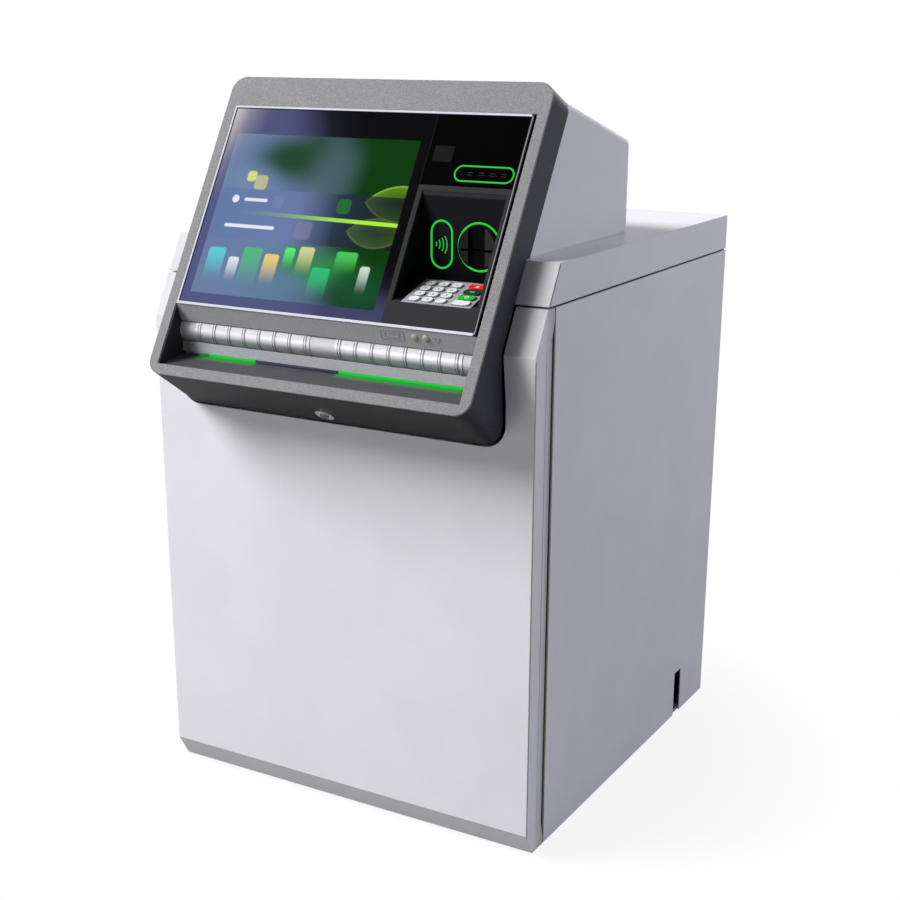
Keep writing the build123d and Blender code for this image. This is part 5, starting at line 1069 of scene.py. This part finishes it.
def make_core_details():
    """Fan grille, vent slots, sockets' rims, screws and a power light on the computer's front."""
    front = facing("front", CORE_Y)
    fan = (52.0, 1030.0)
    rings = [pressed(front, circle(radius, 48), half_round(1.6, 1.4), fan, closed=True)
             for radius in (38, 30, 22, 14)]
    hub = [pressed(front, circle(9, 32), [(0, -0.3), (0, 1.8), (1, 2.6), (5, 2.9)], fan)]
    spokes = [slab(shifted(front, *fan, turn), 76, 2.0, 1.0, 0.5, 0.3) for turn in (45, -45)]
    corners = [(fan[0] + u, fan[1] + v) for u in (-36, 36) for v in (-36, 36)]
    piece("fan_grille", rings + hub + spokes + screws(front, corners, 3.5), "zinc_steel")
    slots = [slab(front, 40, 3.2, 0.4, 1.5, 0.15, (u, v), -0.1)
             for u in (-240, -190, -140, -90, -40) for v in range(1030, 1090, 9)]
    slots += [pressed(front, circle(37, 40), [(0, -0.2), (0, 0.2), (0.3, 0.3)], fan)]
    piece("core_slots", slots, "pad_rubber", finish=housing_black)
    ports = facing("front", CORE_Y - 12)
    rims = [bead(ports, 44, 17, 3, 1.8, 1.5, (-200 + 90 * i, 993)) for i in range(3)]
    rims += screws(ports, [(-200 + 90 * i + s * 25.5, 993) for i in range(3) for s in (-1, 1)], 2.4)
    piece("core_port_rims", rims, "lock_chrome")
    light = pressed(front, circle(2.6, 20), [(0, -0.2), (0, 0.6), (1.2, 1.3)], (-270, 1084))
    piece("core_power_light", [light], "guide_green")


def make_safe_details():
    """Combination dial with its ticks and numerals, and screws round the safe's door."""
    front = facing("front", SAFE_BOX_Y)
    centre = (120.0, 524.0)
    dial = shifted(front, *centre)
    knob = pressed(dial, circle(15, 40), [(0, -0.3), (0, 5), (1, 6.5), (6, 7), (8, 6)])
    rim = pressed(dial, circle(40, 72), half_round(2.4, 1.2), closed=True)
    piece("dial_knob", [knob, rim], "lock_chrome", "safe_door")
    ticks = []
    for step in range(50):
        angle = pi / 2 - step * 2 * pi / 50
        length = 6.0 if step % 5 == 0 else 3.4
        middle = 36.6 - length / 2
        ticks.append(slab(shifted(dial, middle * cos(angle), middle * sin(angle), angle * 180 / pi),
                          length, 0.8, 0.3, 0.2, 0.1))
    for step in range(10):
        angle = pi / 2 - step * 2 * pi / 10
        ticks.append(lettered(str(step * 10), 6.0, dial, (25.5 * cos(angle), 25.5 * sin(angle)), 0.15, 0.2))
    piece("dial_marks", ticks, "key_white", "safe_door", finish=ink_white)
    plate = facing("front", SAFE_PLATE_Y)
    spots = [(u, v) for u in (-262, 262) for v in (52, 358, 664)]
    piece("safe_door_screws", screws(plate, spots, 7.0, 2.6), "zinc_steel", "safe_door")
    frame_line = bead(plate, 540, 632, 10, 5.0, 1.6, (0, 358))
    piece("safe_door_line", [frame_line], "safe_paint", "safe_door")


def make_printer_details():
    """Paper lever, drive gears and cheek screws of the receipt printer."""
    top = facing("top", PRINTER_TOP_Z)
    lever = [slab(top, 52, 12, 4.5, 4, 1.6, (233, -208), -0.3),
             slab(top, 10, 26, 3.2, 3, 1.2, (205, -196), -0.3)]
    piece("printer_lever", lever, "key_green", finish=seal_green)
    right = facing("right", PRINTER_SIDE_X)
    wheels = [gear(right, 15.0, 20, 4.0, (-196, 1118)), gear(right, 9.0, 12, 4.0, (-170.5, 1118))]
    piece("printer_gears", wheels, "key_white", finish=ink_white)
    spots = [(u, v) for u in (-226, -98) for v in (1090, 1146)]
    piece("printer_screws", screws(right, spots, 3.4), "zinc_steel")
    piece("printer_head_line", [bead(top, 84, 60, 4, 2.0, 0.9, (233, -150))], "module_grey")


def make_vent_filters():
    """Dark foam behind the rear vents."""
    for name, x in (("left", -150.0), ("right", 150.0)):
        foam = slab(facing("rear", 459.5), 166.0, 206.0, 3.0, 3.0, 0.8, (-x, 717.0))
        piece("vent_filter_" + name, [foam], "pad_rubber")


# ------------------------------------------------------------------ stage, lamps, camera
def make_floor():
    """Floor that shows white far out and keeps the machine's shadow near it."""
    mesh = bpy.data.meshes.new("studio_floor")
    mesh.from_pydata([(-9, -9, 0), (9, -9, 0), (9, 9, 0), (-9, 9, 0)], [], [(0, 1, 2, 3)])
    floor = linked("studio_floor", mesh)
    f = Finish("studio_floor_white").fixed(Roughness=0.9, Specular_IOR_Level=0.0)
    seen, white = f.rays()
    tone = f.mix(seen, (0.24, 0.24, 0.25), (0.82, 0.82, 0.82))
    f.tree.links.new(tone.socket, f.shader.inputs["Base Color"])
    glow = f.node("ShaderNodeEmission", {}, {"Color": (1, 1, 1, 1), "Strength": 1.0})
    share = white * f.rise(f.length(f.x, f.y), 450, 900, 0.87, 1.0)
    blend = f.node("ShaderNodeMixShader", {}, {0: share, 1: Field(f, f.shader.outputs[0]), 2: glow})
    f.tree.links.new(blend.socket, f.tree.nodes["Material Output"].inputs["Surface"])
    mesh.materials.append(f.material)


def make_world():
    """White to the camera and in reflections, and a dim cool fill for the rest."""
    world = bpy.data.worlds.new("studio")
    bpy.context.scene.world = world
    world.use_nodes = True
    w = Nodes(world.node_tree)
    w.tree.nodes.clear()
    output = w.tree.nodes.new("ShaderNodeOutputWorld")
    fill = w.node("ShaderNodeBackground", {}, {"Color": (0.95, 0.97, 1.05, 1), "Strength": 0.09})
    white = w.node("ShaderNodeBackground", {}, {"Color": (1, 1, 1, 1), "Strength": 1.0})
    blend = w.node("ShaderNodeMixShader", {}, {0: w.rays()[1], 1: fill, 2: white})
    w.tree.links.new(blend.socket, output.inputs[0])


def make_lamp(name, place, aim, size, level, colour=(1, 1, 1)):
    """Area lamp that lights a face turned towards it to a level of about 1 at the aim point."""
    data = bpy.data.lights.new(name, "AREA")
    data.shape = "DISK"
    data.size = size
    data.color = colour
    lamp = linked(name, data)
    offset = np.array(aim, float) - np.array(place, float)
    data.energy = level * pi * pi * float(offset @ offset)
    forward = offset / np.linalg.norm(offset)
    right = np.cross(forward, (0, 0, 1))
    right /= np.linalg.norm(right)
    up = np.cross(right, forward)
    turn = Matrix(np.stack([right, up, -forward], 1).tolist()).to_4x4()
    turn.translation = place
    lamp.matrix_world = turn
    return lamp


def make_camera():
    """Camera at 30.58 degrees to the user's right, looking 17.44 degrees down."""
    data = bpy.data.cameras.new("camera")
    data.sensor_width = 36.0
    data.lens = 60.347
    data.shift_x = 0.0178
    data.shift_y = 0.0608
    camera = linked("camera", data)
    camera.location = (1.409, -2.4102, 1.3617)
    camera.rotation_euler = (radians(90 - 17.44), 0, radians(30.58))
    bpy.context.scene.camera = camera


make_camera()
make_floor()
make_world()
key_lamp = make_lamp("key_lamp", (-5.57, -4.04, 6.75), (0, -0.2, 0.8), 4.2, 1.69)
key_lamp.visible_glossy = False
make_lamp("front_lamp", (-3.8, -8.4, 2.2), (0, 0, 0.6), 3.2, 0.11)
make_lamp("back_lamp", (0.0, 9.0, 1.7), (0, 0.46, 0.6), 4.0, 0.26, (0.97, 0.98, 1.03))
make_lamp("top_lamp", (1.4, 1.6, 8.0), (0.3, 0.1, 1.0), 3.0, 0.03, (1.0, 1.0, 0.95))
make_lamp("side_lamp", (6.8, 2.0, 3.0), (0.38, 0, 0.7), 5.0, 0.33, (0.94, 0.95, 1.1))
bpy.context.scene.view_settings.view_transform = "Standard"

dress_nodes()
make_keys()
make_lights()
make_tap_mark()
make_shutters()
make_roof_marks()
make_vent_filters()
make_grip_strip()
make_seam_gasket()
make_rear_details()
make_cassette_fronts()
make_transport_details()
make_core_details()
make_safe_details()
make_printer_details()
